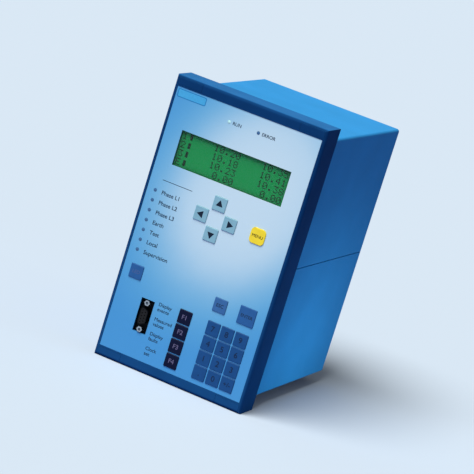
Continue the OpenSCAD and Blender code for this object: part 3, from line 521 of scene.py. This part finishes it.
def extruded_vinyl(name, hex_colour):
    """Flat cable of extruded vinyl: grey ridges, one for each wire."""
    material, tree, shader, place = start_material(name, Roughness=0.5)
    ridges = add_node(tree, "ShaderNodeTexWave", {
        "Vector": place, "Scale": 1 / (WAVES * WIRE_PITCH),
    }, bands_direction="Z")
    bump = add_node(tree, "ShaderNodeBump", {"Height": ridges.outputs["Fac"], "Distance": 0.3 * MM})
    tree.links.new(bump.outputs["Normal"], shader.inputs["Normal"])
    set_tone(tree, shader, place, linear(hex_colour), patch=10, shades=(0.92, 1.08))
    return material


def screen_ink(name, rgb):
    """Screen-printed ink: matt and dense, with the faint mottle of the screen."""
    material, tree, shader, place = start_material(name, Specular_IOR_Level=0.2)
    pattern = set_relief(tree, shader, place, grain=0.3, depth=0.004)
    set_roughness(tree, shader, pattern, 0.5, 0.62)
    set_tone(tree, shader, place, rgb, patch=1.5, shades=(0.95, 1.05))
    return material


def dress(material, *nodes):
    """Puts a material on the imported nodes, in the slots that they come with."""
    for name in nodes:
        for material_slot in frame["nodes"][name].material_slots:
            material_slot.material = material


# Modelling


def select_only(*pieces):
    """Selects these objects alone, the last one active."""
    bpy.ops.object.select_all(action="DESELECT")
    for piece in pieces:
        piece.select_set(True)
    bpy.context.view_layer.objects.active = pieces[-1]


def select_faces(piece, wanted):
    """In edit mode, selects the faces for which wanted(face) holds."""
    mesh = bmesh.from_edit_mesh(piece.data)
    bpy.ops.mesh.select_mode(type="FACE")
    for face in mesh.faces:
        face.select_set(wanted(face))
    mesh.select_flush_mode()
    bmesh.update_edit_mesh(piece.data)


def settle(piece, place, turn, scale=(1, 1, 1)):
    """Moves a new piece to its place and applies that to its mesh."""
    select_only(piece)
    piece.scale = scale
    piece.rotation_euler = turn
    piece.location = place
    bpy.ops.object.transform_apply(location=True, rotation=True, scale=True)
    return piece


def thicken(piece, thickness):
    """Makes a flat print a closed solid, half of it above the surface that it lies on."""
    select_only(piece)
    solidify = piece.modifiers.new("Ink", "SOLIDIFY")
    solidify.thickness = thickness
    solidify.offset = 0
    bpy.ops.object.modifier_apply(modifier=solidify.name)
    return piece


def letter(words, capital, place, ink, align="CENTER", turn=FRONT):
    """Sets words in a plain face as a raised print. Place is the middle of the capitals' height."""
    bpy.ops.object.text_add()
    text = bpy.context.object
    text.data.body = words
    text.data.align_x = align
    text.data.align_y = "BOTTOM_BASELINE"
    text.data.resolution_u = 4
    bpy.ops.object.convert(target="MESH")
    print_out = bpy.context.object
    bpy.ops.object.mode_set(mode="EDIT")
    bpy.ops.mesh.select_all(action="SELECT")
    bpy.ops.mesh.remove_doubles(threshold=SHORT_EDGE)
    bpy.ops.object.mode_set(mode="OBJECT")
    thicken(print_out, STROKE)
    bpy.ops.object.mode_set(mode="EDIT")
    bpy.ops.mesh.select_all(action="SELECT")
    # The print is bolder than the font, so its strokes are set out
    bpy.ops.transform.shrink_fatten(value=STROKE)
    # That also bends the two faces a little at each corner, so they are made flat again
    mesh = bmesh.from_edit_mesh(print_out.data)
    for vertex in mesh.verts:
        vertex.co.z = math.copysign(HALF_LETTER, vertex.co.z)
    bmesh.update_edit_mesh(print_out.data)
    bpy.ops.mesh.dissolve_degenerate(threshold=THIN_FACE)
    bpy.ops.object.mode_set(mode="OBJECT")
    size = capital / CAPITAL
    baseline = place - Vector((0, 0, capital / 2))
    return settle(print_out, baseline, turn, (size, size, ink / (2 * HALF_LETTER)))


def panel(width, height, corner, place, turn=FRONT):
    """A flat field with round corners."""
    bpy.ops.mesh.primitive_plane_add(size=1)
    field = bpy.context.object
    field.scale = (width, height, 1)
    bpy.ops.object.transform_apply(scale=True)
    bpy.ops.object.mode_set(mode="EDIT")
    bpy.ops.mesh.select_all(action="SELECT")
    bpy.ops.mesh.bevel(offset=corner, segments=4, affect="VERTICES")
    bpy.ops.object.mode_set(mode="OBJECT")
    return settle(field, place, turn)


def join(pieces):
    """Joins pieces to one."""
    select_only(*pieces)
    bpy.ops.object.join()
    return bpy.context.object


def deliver(piece, name, material=None, body="root"):
    """Names a finished piece, gives it its material, if one is passed, and lets it ride on a body."""
    piece.name = name
    piece.data.name = name
    if material:
        piece.data.materials.append(material)
    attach(piece, body)


def face_middle(node):
    """Middle of a node's front face."""
    low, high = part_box(node)
    return Vector(((low.x + high.x) / 2, low.y, (low.z + high.z) / 2))


def foil_face():
    """Depth of the foil's printed face."""
    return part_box("front_foil")[0].y


# Words of the front, all generic
STATUS_WORDS = {"run_lamp": "RUN", "error_lamp": "ERROR"}
LAMP_WORDS = ["Phase L1", "Phase L2", "Phase L3", "Earth", "Test", "Local", "Supervision"]
FUNCTION_WORDS = {
    "key_f1": ("Display", "events"),
    "key_f2": ("Measured", "values"),
    "key_f3": ("Display", "faults"),
    "key_f4": ("Clock", "set"),
}

# Word on each key: the word, its capitals' height in millimetres and its ink
KEY_WORDS = {
    "key_menu": ("MENU", 2.7, "ink_brown"),
    "key_led_reset": ("LED", 3.0, "ink_dim"),
    "key_esc": ("ESC", 3.0, "ink_dark"),
    "key_enter": ("ENTER", 2.7, "ink_dark"),
    "key_f1": ("F1", 4.0, "ink_pale"),
    "key_f2": ("F2", 4.0, "ink_pale"),
    "key_f3": ("F3", 4.0, "ink_pale"),
    "key_f4": ("F4", 4.0, "ink_pale"),
    "key_dot": (".", 5.0, "ink_navy"),
    "key_sign": ("+/-", 4.2, "ink_navy"),
    **{f"key_{digit}": (str(digit), 5.0, "ink_navy") for digit in range(10)},
}
ARROW_TURNS = {"key_up": 0, "key_left": 90, "key_down": 180, "key_right": 270}
NUMBER_KEYS = [f"key_{digit}" for digit in range(10)] + ["key_dot", "key_sign"]

# Characters of the display, as rows of five dots from the top down
DISPLAY_ROWS = [
    "1|    10.20    10.35",
    "2|    10.18    10.41",
    "3|    10.23    10.38",
    "E|     0.00     0.00",
]
GLYPHS = {
    "0": "01110 10001 10011 10101 11001 10001 01110",
    "1": "00100 01100 00100 00100 00100 00100 01110",
    "2": "01110 10001 00001 00010 00100 01000 11111",
    "3": "11111 00010 00100 00010 00001 10001 01110",
    "4": "00010 00110 01010 10010 11111 00010 00010",
    "5": "11111 10000 11110 00001 00001 10001 01110",
    "8": "01110 10001 10001 01110 10001 10001 01110",
    "E": "11111 10000 10000 11110 10000 10000 11111",
    ".": "00000 00000 00000 00000 00000 01100 01100",
    "|": "00111 00111 00111 00111 00111 00111 00000",
}
# Dots from one character to the next, across and down, and dots above a character
GLYPH_WIDTH = 6
GLYPH_HEIGHT = 9
GLYPH_TOP = 1

# Rear terminals: node, rows, row spacing and barrier height in millimetres, and how many blocks it has.
# All blocks are equally wide
TERMINAL_BLOCKS = [
    ("signal_terminal_blocks", 9, 10, 10, 2),
    ("current_terminal_block", 4, 16, 10, 1),
]
BLOCK_WIDTH = 30 * MM


# Operators


class RELAY_OT_case_finish(bpy.types.Operator):
    """Enamels the two halves of the case and the rear wall"""

    bl_idname = "relay.case_finish"
    bl_label = "Enamel the case"

    def execute(self, context):
        colours = context.scene.relay.colours
        dress(baked_enamel("baked_blue_enamel", colours.case), "upper_shell", "lower_shell", "rear_wall")
        return {"FINISHED"}


class RELAY_OT_front_finish(bpy.types.Operator):
    """Finishes the moulded frame, the foil, the display and the lamps"""

    bl_idname = "relay.front_finish"
    bl_label = "Finish the front"

    def execute(self, context):
        colours = context.scene.relay.colours
        prints = context.scene.relay.prints
        dress(eroded_abs("spark_eroded_abs", colours), "front_frame", "corner_covers")
        dress(printed_polyester("printed_polyester_foil", colours, prints), "front_foil")
        dress(backlit_glass("backlit_display_glass", colours), "display_cell")
        dress(cast_acrylic("cast_acrylic_clear"), "display_lens")
        dress(tinted_lens("moulded_lens_lit", colours.lamp_lit, glow=0.12), "run_lamp")
        dress(tinted_lens("moulded_lens_dark", colours.lamp_dark), "error_lamp", "signal_lamps")
        return {"FINISHED"}


class RELAY_OT_key_finish(bpy.types.Operator):
    """Colours the key caps"""

    bl_idname = "relay.key_finish"
    bl_label = "Colour the keys"

    def execute(self, context):
        colours = context.scene.relay.colours
        dress(moulded_cap("moulded_cap_pale", colours.key_arrow), *ARROW_TURNS)
        dress(moulded_cap("moulded_cap_yellow", colours.key_menu), "key_menu")
        dress(moulded_cap("moulded_cap_mid_blue", colours.key_escape), "key_esc")
        dress(moulded_cap("moulded_cap_blue", colours.key_command), "key_enter", "key_led_reset")
        dress(moulded_cap("moulded_cap_deep_blue", colours.key_number), *NUMBER_KEYS)
        dress(moulded_cap("moulded_cap_navy", colours.key_function), *FUNCTION_WORDS)
        return {"FINISHED"}


class RELAY_OT_metal_finish(bpy.types.Operator):
    """Plates the screws, brackets, posts and connector shells"""

    bl_idname = "relay.metal_finish"
    bl_label = "Plate the metal pieces"

    def execute(self, context):
        nickel = plated_steel("nickel_plated_steel", "#c3c7cc", 0.22, 0.36, lines=0.5)
        dress(nickel, "rear_wall_screws", "frame_screws", "front_board_screws")
        dress(nickel, "terminal_screws", "earth_terminal")
        bright = plated_steel("bright_nickel_turned", "#e3e6ea", 0.12, 0.24, lines=0.4)
        dress(bright, "optical_ports")
        dull = plated_steel("dull_nickel_turned", "#a9afb7", 0.2, 0.34, lines=0.4)
        dress(dull, "port_jackscrews")
        tin = plated_steel("tin_plated_pressing", "#b4b8be", 0.3, 0.42, lines=0.8)
        dress(tin, "sync_port", "buffer_battery")
        dark = plated_steel("black_zinc_pressing", "#14161b", 0.4, 0.55, lines=0.8)
        dress(dark, "port_shell")
        zinc = plated_steel("zinc_plated_sheet", "#b3bac2", 0.38, 0.55, lines=2.5)
        dress(zinc, "mounting_bracket_top", "mounting_bracket_bottom")
        return {"FINISHED"}


class RELAY_OT_inside_finish(bpy.types.Operator):
    """Finishes the terminal blocks, boards and what is on them"""

    bl_idname = "relay.inside_finish"
    bl_label = "Finish the blocks and boards"

    def execute(self, context):
        black = filled_polyamide("glass_filled_polyamide", "#17181c")
        dress(black, "signal_terminal_blocks", "current_terminal_block", "display_carrier")
        dress(filled_polyamide("glass_filled_polyamide_dull", "#0f0e11", gloss=0.2), "port_insert")
        dress(resist_laminate("solder_resist_laminate", "#1f5b3a"), "front_board", "cpu_board", "io_board")
        dress(moulded_polyester("moulded_polyester_black", "#1c1d20"), "key_switches", "cpu_components")
        dress(moulded_polyester("moulded_polyester_grey", "#3a3c40"), "input_transformers")
        dress(moulded_polyester("moulded_polyester_ivory", "#e4e0d4"), "output_relays", "card_guides")
        dress(extruded_vinyl("extruded_vinyl_grey", "#8c9094"), "ribbon_cable")
        return {"FINISHED"}


class RELAY_OT_foil_words(bpy.types.Operator):
    """Prints the words beside the lamps and the function keys"""

    bl_idname = "relay.foil_words"
    bl_label = "Print the foil's words"

    def execute(self, context):
        prints = context.scene.relay.prints
        ink = screen_ink("screen_ink_dark", context.scene.relay.colours.ink_dark)
        face_y = foil_face()
        status = []
        for node, word in STATUS_WORDS.items():
            place = face_middle(node)
            place.x += prints.status_gap
            place.y = face_y
            status.append(letter(word, prints.status_letter, place, prints.ink, "LEFT"))
        deliver(join(status), "status_words", ink)
        low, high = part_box("signal_lamps")
        radius = (high.x - low.x) / 2
        step = (high.z - low.z - 2 * radius) / (len(LAMP_WORDS) - 1)
        lamps = []
        for row, word in enumerate(LAMP_WORDS):
            place = Vector((low.x + radius + prints.lamp_gap, face_y, high.z - radius - row * step))
            lamps.append(letter(word, prints.lamp_letter, place, prints.ink, "LEFT"))
        deliver(join(lamps), "lamp_words", ink)
        functions = []
        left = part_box("port_shell")[1].x + prints.port_gap
        for node, lines in FUNCTION_WORDS.items():
            middle = face_middle(node)
            for side, word in zip((0.5, -0.5), lines):
                place = Vector((left, face_y, middle.z + side * prints.function_line))
                functions.append(letter(word, prints.function_letter, place, prints.ink, "LEFT"))
        deliver(join(functions), "function_words", ink)
        return {"FINISHED"}


class RELAY_OT_name_field(bpy.types.Operator):
    """Prints the blank field in the foil's upper left corner"""

    bl_idname = "relay.name_field"
    bl_label = "Print the blank name field"

    def execute(self, context):
        prints = context.scene.relay.prints
        colours = context.scene.relay.colours
        low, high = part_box("front_foil")
        place = Vector((
            low.x + prints.field_inset + prints.field_width / 2,
            low.y,
            high.z - prints.field_inset - prints.field_height / 2,
        ))
        field = panel(prints.field_width, prints.field_height, 2 * prints.field_border, place)
        field.data.materials.append(screen_ink("screen_ink_border", colours.ink_border))
        field.data.materials.append(screen_ink("screen_ink_field", colours.ink_field))
        bpy.ops.object.mode_set(mode="EDIT")
        bpy.ops.mesh.select_all(action="SELECT")
        bpy.ops.mesh.inset(thickness=prints.field_border)
        # The inner face stays selected and takes the second ink
        field.active_material_index = 1
        bpy.ops.object.material_slot_assign()
        bpy.ops.object.mode_set(mode="OBJECT")
        deliver(thicken(field, prints.ink), "name_field")
        return {"FINISHED"}


class RELAY_OT_lamp_rule(bpy.types.Operator):
    """Prints the line above the signal lamps"""

    bl_idname = "relay.lamp_rule"
    bl_label = "Print the line above the lamps"

    def execute(self, context):
        prints = context.scene.relay.prints
        low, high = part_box("signal_lamps")
        radius = (high.x - low.x) / 2
        place = Vector((
            high.x + radius + prints.rule_length / 2,
            foil_face(),
            high.z - radius + prints.rule_rise,
        ))
        rule = panel(prints.rule_length, prints.rule_width, prints.rule_width * RULE_CORNER, place)
        ink = screen_ink("screen_ink_rule", context.scene.relay.colours.ink_dark)
        deliver(thicken(rule, prints.ink), "lamp_rule", ink)
        return {"FINISHED"}


class RELAY_OT_key_words(bpy.types.Operator):
    """Prints the word or digit on each key"""

    bl_idname = "relay.key_words"
    bl_label = "Print the keys' words"

    def execute(self, context):
        prints = context.scene.relay.prints
        colours = context.scene.relay.colours
        inks = {
            name: screen_ink(f"screen_{name}_key", getattr(colours, name))
            for name in ("ink_dark", "ink_brown", "ink_navy", "ink_pale", "ink_dim")
        }
        for node, (word, capital, ink) in KEY_WORDS.items():
            print_out = letter(word, capital * MM, face_middle(node), prints.ink)
            deliver(print_out, f"{node}_word", inks[ink], node)
        return {"FINISHED"}


class RELAY_OT_key_arrows(bpy.types.Operator):
    """Prints the arrow on each arrow key"""

    bl_idname = "relay.key_arrows"
    bl_label = "Print the arrows"

    def execute(self, context):
        prints = context.scene.relay.prints
        ink = screen_ink("screen_ink_arrow", context.scene.relay.colours.ink_black)
        for node, turn in ARROW_TURNS.items():
            bpy.ops.mesh.primitive_circle_add(vertices=3, radius=prints.arrow_size, fill_type="NGON")
            arrow = bpy.context.object
            bpy.ops.object.mode_set(mode="EDIT")
            bpy.ops.mesh.select_all(action="SELECT")
            bpy.ops.mesh.bevel(offset=prints.arrow_size * ARROW_CORNER, segments=3, affect="VERTICES")
            bpy.ops.object.mode_set(mode="OBJECT")
            settle(arrow, Vector(), (0, 0, math.radians(turn)))
            settle(arrow, face_middle(node), FRONT)
            deliver(thicken(arrow, prints.ink), f"{node}_arrow", ink, node)
        return {"FINISHED"}


class RELAY_OT_display_characters(bpy.types.Operator):
    """Sets the display's characters from square dots"""

    bl_idname = "relay.display_characters"
    bl_label = "Set the display's characters"

    def execute(self, context):
        prints = context.scene.relay.prints
        low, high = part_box("display_cell")
        columns = GLYPH_WIDTH * len(DISPLAY_ROWS[0])
        rows = GLYPH_HEIGHT * len(DISPLAY_ROWS)
        dot = (high.x - low.x - 2 * prints.display_inset) / columns
        middle = face_middle("display_cell")
        bpy.ops.mesh.primitive_grid_add(x_subdivisions=columns, y_subdivisions=rows, size=1)
        screen = bpy.context.object
        screen.scale = (columns * dot, rows * dot, 1)
        bpy.ops.object.transform_apply(scale=True)

        def is_dark(face):
            """Whether a face of the grid is a dark dot of its character."""
            place = face.calc_center_median()
            column = int(place.x / dot + columns / 2)
            row = int(rows / 2 - place.y / dot)
            character = DISPLAY_ROWS[row // GLYPH_HEIGHT][column // GLYPH_WIDTH]
            lines = GLYPHS.get(character, "").split()
            line = row % GLYPH_HEIGHT - GLYPH_TOP
            across = column % GLYPH_WIDTH
            return 0 <= line < len(lines) and across < len(lines[line]) and lines[line][across] == "1"

        bpy.ops.object.mode_set(mode="EDIT")
        select_faces(screen, lambda face: not is_dark(face))
        bpy.ops.mesh.delete(type="FACE")
        bpy.ops.mesh.select_all(action="SELECT")
        bpy.ops.mesh.inset(thickness=dot * DOT_RIM, use_individual=True)
        # The rims round the dots are cut away, so that no two dots touch
        bpy.ops.mesh.select_all(action="INVERT")
        bpy.ops.mesh.delete(type="FACE")
        bpy.ops.object.mode_set(mode="OBJECT")
        settle(screen, middle, FRONT)
        ink = screen_ink("liquid_crystal_dark", context.scene.relay.colours.display_dot)
        deliver(thicken(screen, prints.ink), "display_characters", ink)
        return {"FINISHED"}


class RELAY_OT_terminal_digits(bpy.types.Operator):
    """Prints the numbers of the rear terminals"""

    bl_idname = "relay.terminal_digits"
    bl_label = "Number the terminals"

    def execute(self, context):
        prints = context.scene.relay.prints
        ink = screen_ink("screen_ink_white", context.scene.relay.colours.ink_white)
        for node, rows, pitch, barrier, blocks in TERMINAL_BLOCKS:
            low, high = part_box(node)
            base_y = high.y - barrier * MM
            middles = [low.x + BLOCK_WIDTH / 2, high.x - BLOCK_WIDTH / 2][:blocks]
            reach = BLOCK_WIDTH / 2 - prints.terminal_inset
            digits = []
            for middle in middles:
                for row in range(rows):
                    z = (low.z + high.z) / 2 + ((rows - 1) / 2 - row) * pitch * MM
                    for column, side in enumerate((1, -1)):
                        place = Vector((middle + side * reach, base_y, z))
                        number = str(2 * row + column + 1)
                        digits.append(letter(number, prints.terminal_letter, place, prints.ink, turn=REAR))
            deliver(join(digits), f"{node}_digits", ink)
        return {"FINISHED"}


class RELAY_OT_earth_sign(bpy.types.Operator):
    """Prints the earth sign beside the earthing screw"""

    bl_idname = "relay.earth_sign"
    bl_label = "Print the earth sign"

    def execute(self, context):
        prints = context.scene.relay.prints
        size = prints.earth_size
        line = size * EARTH_LINE
        stem = size * EARTH_STEM
        corner = size * EARTH_CORNER
        low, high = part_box("earth_terminal")
        wall_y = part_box("rear_wall")[1].y
        middle = Vector(((low.x + high.x) / 2 - size * EARTH_GAP, wall_y, (low.z + high.z) / 2))
        bars = [panel(line, stem, corner, middle + Vector((0, 0, stem / 2)), REAR)]
        for step, width in enumerate(EARTH_BARS):
            place = middle - Vector((0, 0, step * size * EARTH_STEP))
            bars.append(panel(size * width, line, corner, place, REAR))
        ink = screen_ink("screen_ink_earth", context.scene.relay.colours.ink_earth)
        deliver(thicken(join(bars), prints.ink), "earth_sign", ink)
        return {"FINISHED"}


class RELAY_OT_stage(bpy.types.Operator):
    """Adds the floor, the background, the lamps and the camera"""

    bl_idname = "relay.stage"
    bl_label = "Set the stage"

    def execute(self, context):
        stage = context.scene.relay.stage
        context.scene.view_settings.view_transform = "Standard"
        lowest = CAD_BOX[0][2]
        bpy.ops.object.select_all(action="DESELECT")
        bpy.ops.mesh.primitive_plane_add(size=FLOOR_SIZE, location=(0, 0, lowest))
        floor = bpy.context.object
        floor.name = "floor"
        floor.data.materials.append(self.matt_floor(stage))
        self.light_world(context.scene, stage)
        self.add_sun(stage)
        self.add_side_lamp(stage)
        self.add_camera(context.scene, stage)
        return {"FINISHED"}

    def add_camera(self, scene, stage):
        """Camera at the right of the front, a little above it and tilted."""
        turn = (
            Matrix.Rotation(stage.yaw, 3, "Z")
            @ Matrix.Rotation(math.pi / 2 - stage.pitch, 3, "X")
            @ Matrix.Rotation(stage.roll, 3, "Z")
        )
        middle = Vector((0, stage.aim_depth, 0))
        eye = middle + turn @ Vector((-stage.aim_left, -stage.aim_low, stage.distance))
        bpy.ops.object.camera_add(location=eye, rotation=turn.to_euler())
        camera = bpy.context.object
        camera.data.lens = stage.lens
        camera.data.clip_end = SIGHT_END
        scene.camera = camera

    def shine_from(self, direction):
        """Turn of a lamp that shines from this direction."""
        return direction.to_track_quat("Z", "Y").to_euler()

    def add_sun(self, stage):
        """Soft lamp above the front, a little to the left."""
        bpy.ops.object.light_add(type="SUN", rotation=self.shine_from(SUN_FROM))
        lamp = bpy.context.object.data
        lamp.energy = stage.sun_light
        lamp.angle = stage.sun_spread

    def add_side_lamp(self, stage):
        """Low soft lamp at the right, which lifts the lower half of the side."""
        low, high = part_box("lower_shell")
        target = Vector((high.x, (low.y + high.y) / 2, low.z + (high.z - low.z) * SIDE_LAMP_AIM))
        place = target + SIDE_LAMP_FROM
        bpy.ops.object.light_add(type="SPOT", location=place, rotation=self.shine_from(SIDE_LAMP_FROM))
        lamp = bpy.context.object.data
        lamp.energy = stage.side_light
        lamp.color = stage.side_tint
        lamp.spot_size = stage.side_spread
        lamp.spot_blend = 1.0
        lamp.shadow_soft_size = SIDE_LAMP_RADIUS

    def matt_floor(self, stage):
        """Floor of matt paper: pale and even, so that the shadow reads."""
        material, tree, shader, _ = start_material("matt_paper_floor", Specular_IOR_Level=0.0, Roughness=0.9)
        tone = add_node(tree, "ShaderNodeMix", {
            "Factor": self.seen(tree), "A": rgba(stage.floor_bounce), "B": rgba(stage.floor),
        }, data_type="RGBA")
        tree.links.new(tone.outputs["Result"], shader.inputs["Base Color"])
        return material

    def seen(self, tree):
        """One where the camera, gloss or glass looks at the surface, and nought where it lights another."""
        path = add_node(tree, "ShaderNodeLightPath").outputs
        direct = add_node(tree, "ShaderNodeMath", {
            0: path["Is Camera Ray"], 1: path["Is Glossy Ray"],
        }, operation="MAXIMUM")
        shown = add_node(tree, "ShaderNodeMath", {
            0: direct.outputs["Value"], 1: path["Is Transmission Ray"],
        }, operation="MAXIMUM")
        return shown.outputs["Value"]

    def light_world(self, scene, stage):
        """Even light all round. Camera, gloss and glass see the pale background itself."""
        world = bpy.data.worlds.new("studio")
        world.use_nodes = True
        scene.world = world
        tree = world.node_tree
        tree.nodes.clear()
        light = add_node(tree, "ShaderNodeBackground", {"Color": (1, 1, 1, 1), "Strength": stage.world_light})
        backdrop = add_node(tree, "ShaderNodeBackground", {"Color": rgba(stage.background), "Strength": 1.0})
        mix = add_node(tree, "ShaderNodeMixShader", {
            "Fac": self.seen(tree), 1: light.outputs["Background"], 2: backdrop.outputs["Background"],
        })
        add_node(tree, "ShaderNodeOutputWorld", {"Surface": mix.outputs["Shader"]})


# Panel and registration

OPERATORS = [
    RELAY_OT_case_finish,
    RELAY_OT_front_finish,
    RELAY_OT_key_finish,
    RELAY_OT_metal_finish,
    RELAY_OT_inside_finish,
    RELAY_OT_foil_words,
    RELAY_OT_name_field,
    RELAY_OT_lamp_rule,
    RELAY_OT_key_words,
    RELAY_OT_key_arrows,
    RELAY_OT_display_characters,
    RELAY_OT_terminal_digits,
    RELAY_OT_earth_sign,
    RELAY_OT_stage,
]


class RELAY_PT_sidebar(bpy.types.Panel):
    """Lists the steps that finish the relay"""

    bl_label = "Protection relay"
    bl_idname = "RELAY_PT_sidebar"
    bl_space_type = "VIEW_3D"
    bl_region_type = "UI"
    bl_category = "Relay"

    def draw(self, context):
        for operator in OPERATORS:
            self.layout.operator(operator.bl_idname)
        settings = context.scene.relay
        for group in (settings.colours, settings.prints, settings.stage):
            box = self.layout.box()
            for name in group.__annotations__:
                box.prop(group, name)


CLASSES = [RelayColours, RelayPrint, RelayStage, RelaySettings, *OPERATORS, RELAY_PT_sidebar]


def register():
    for item in CLASSES:
        bpy.utils.register_class(item)
    bpy.types.Scene.relay = PointerProperty(type=RelaySettings)


def unregister():
    del bpy.types.Scene.relay
    for item in reversed(CLASSES):
        bpy.utils.unregister_class(item)


def main():
    """Finishes the relay from its frame."""
    register()
    bpy.ops.object.select_all(action="DESELECT")
    for operator in OPERATORS:
        group, name = operator.bl_idname.split(".")
        getattr(getattr(bpy.ops, group), name)()


if __name__ == "__main__":
    main()
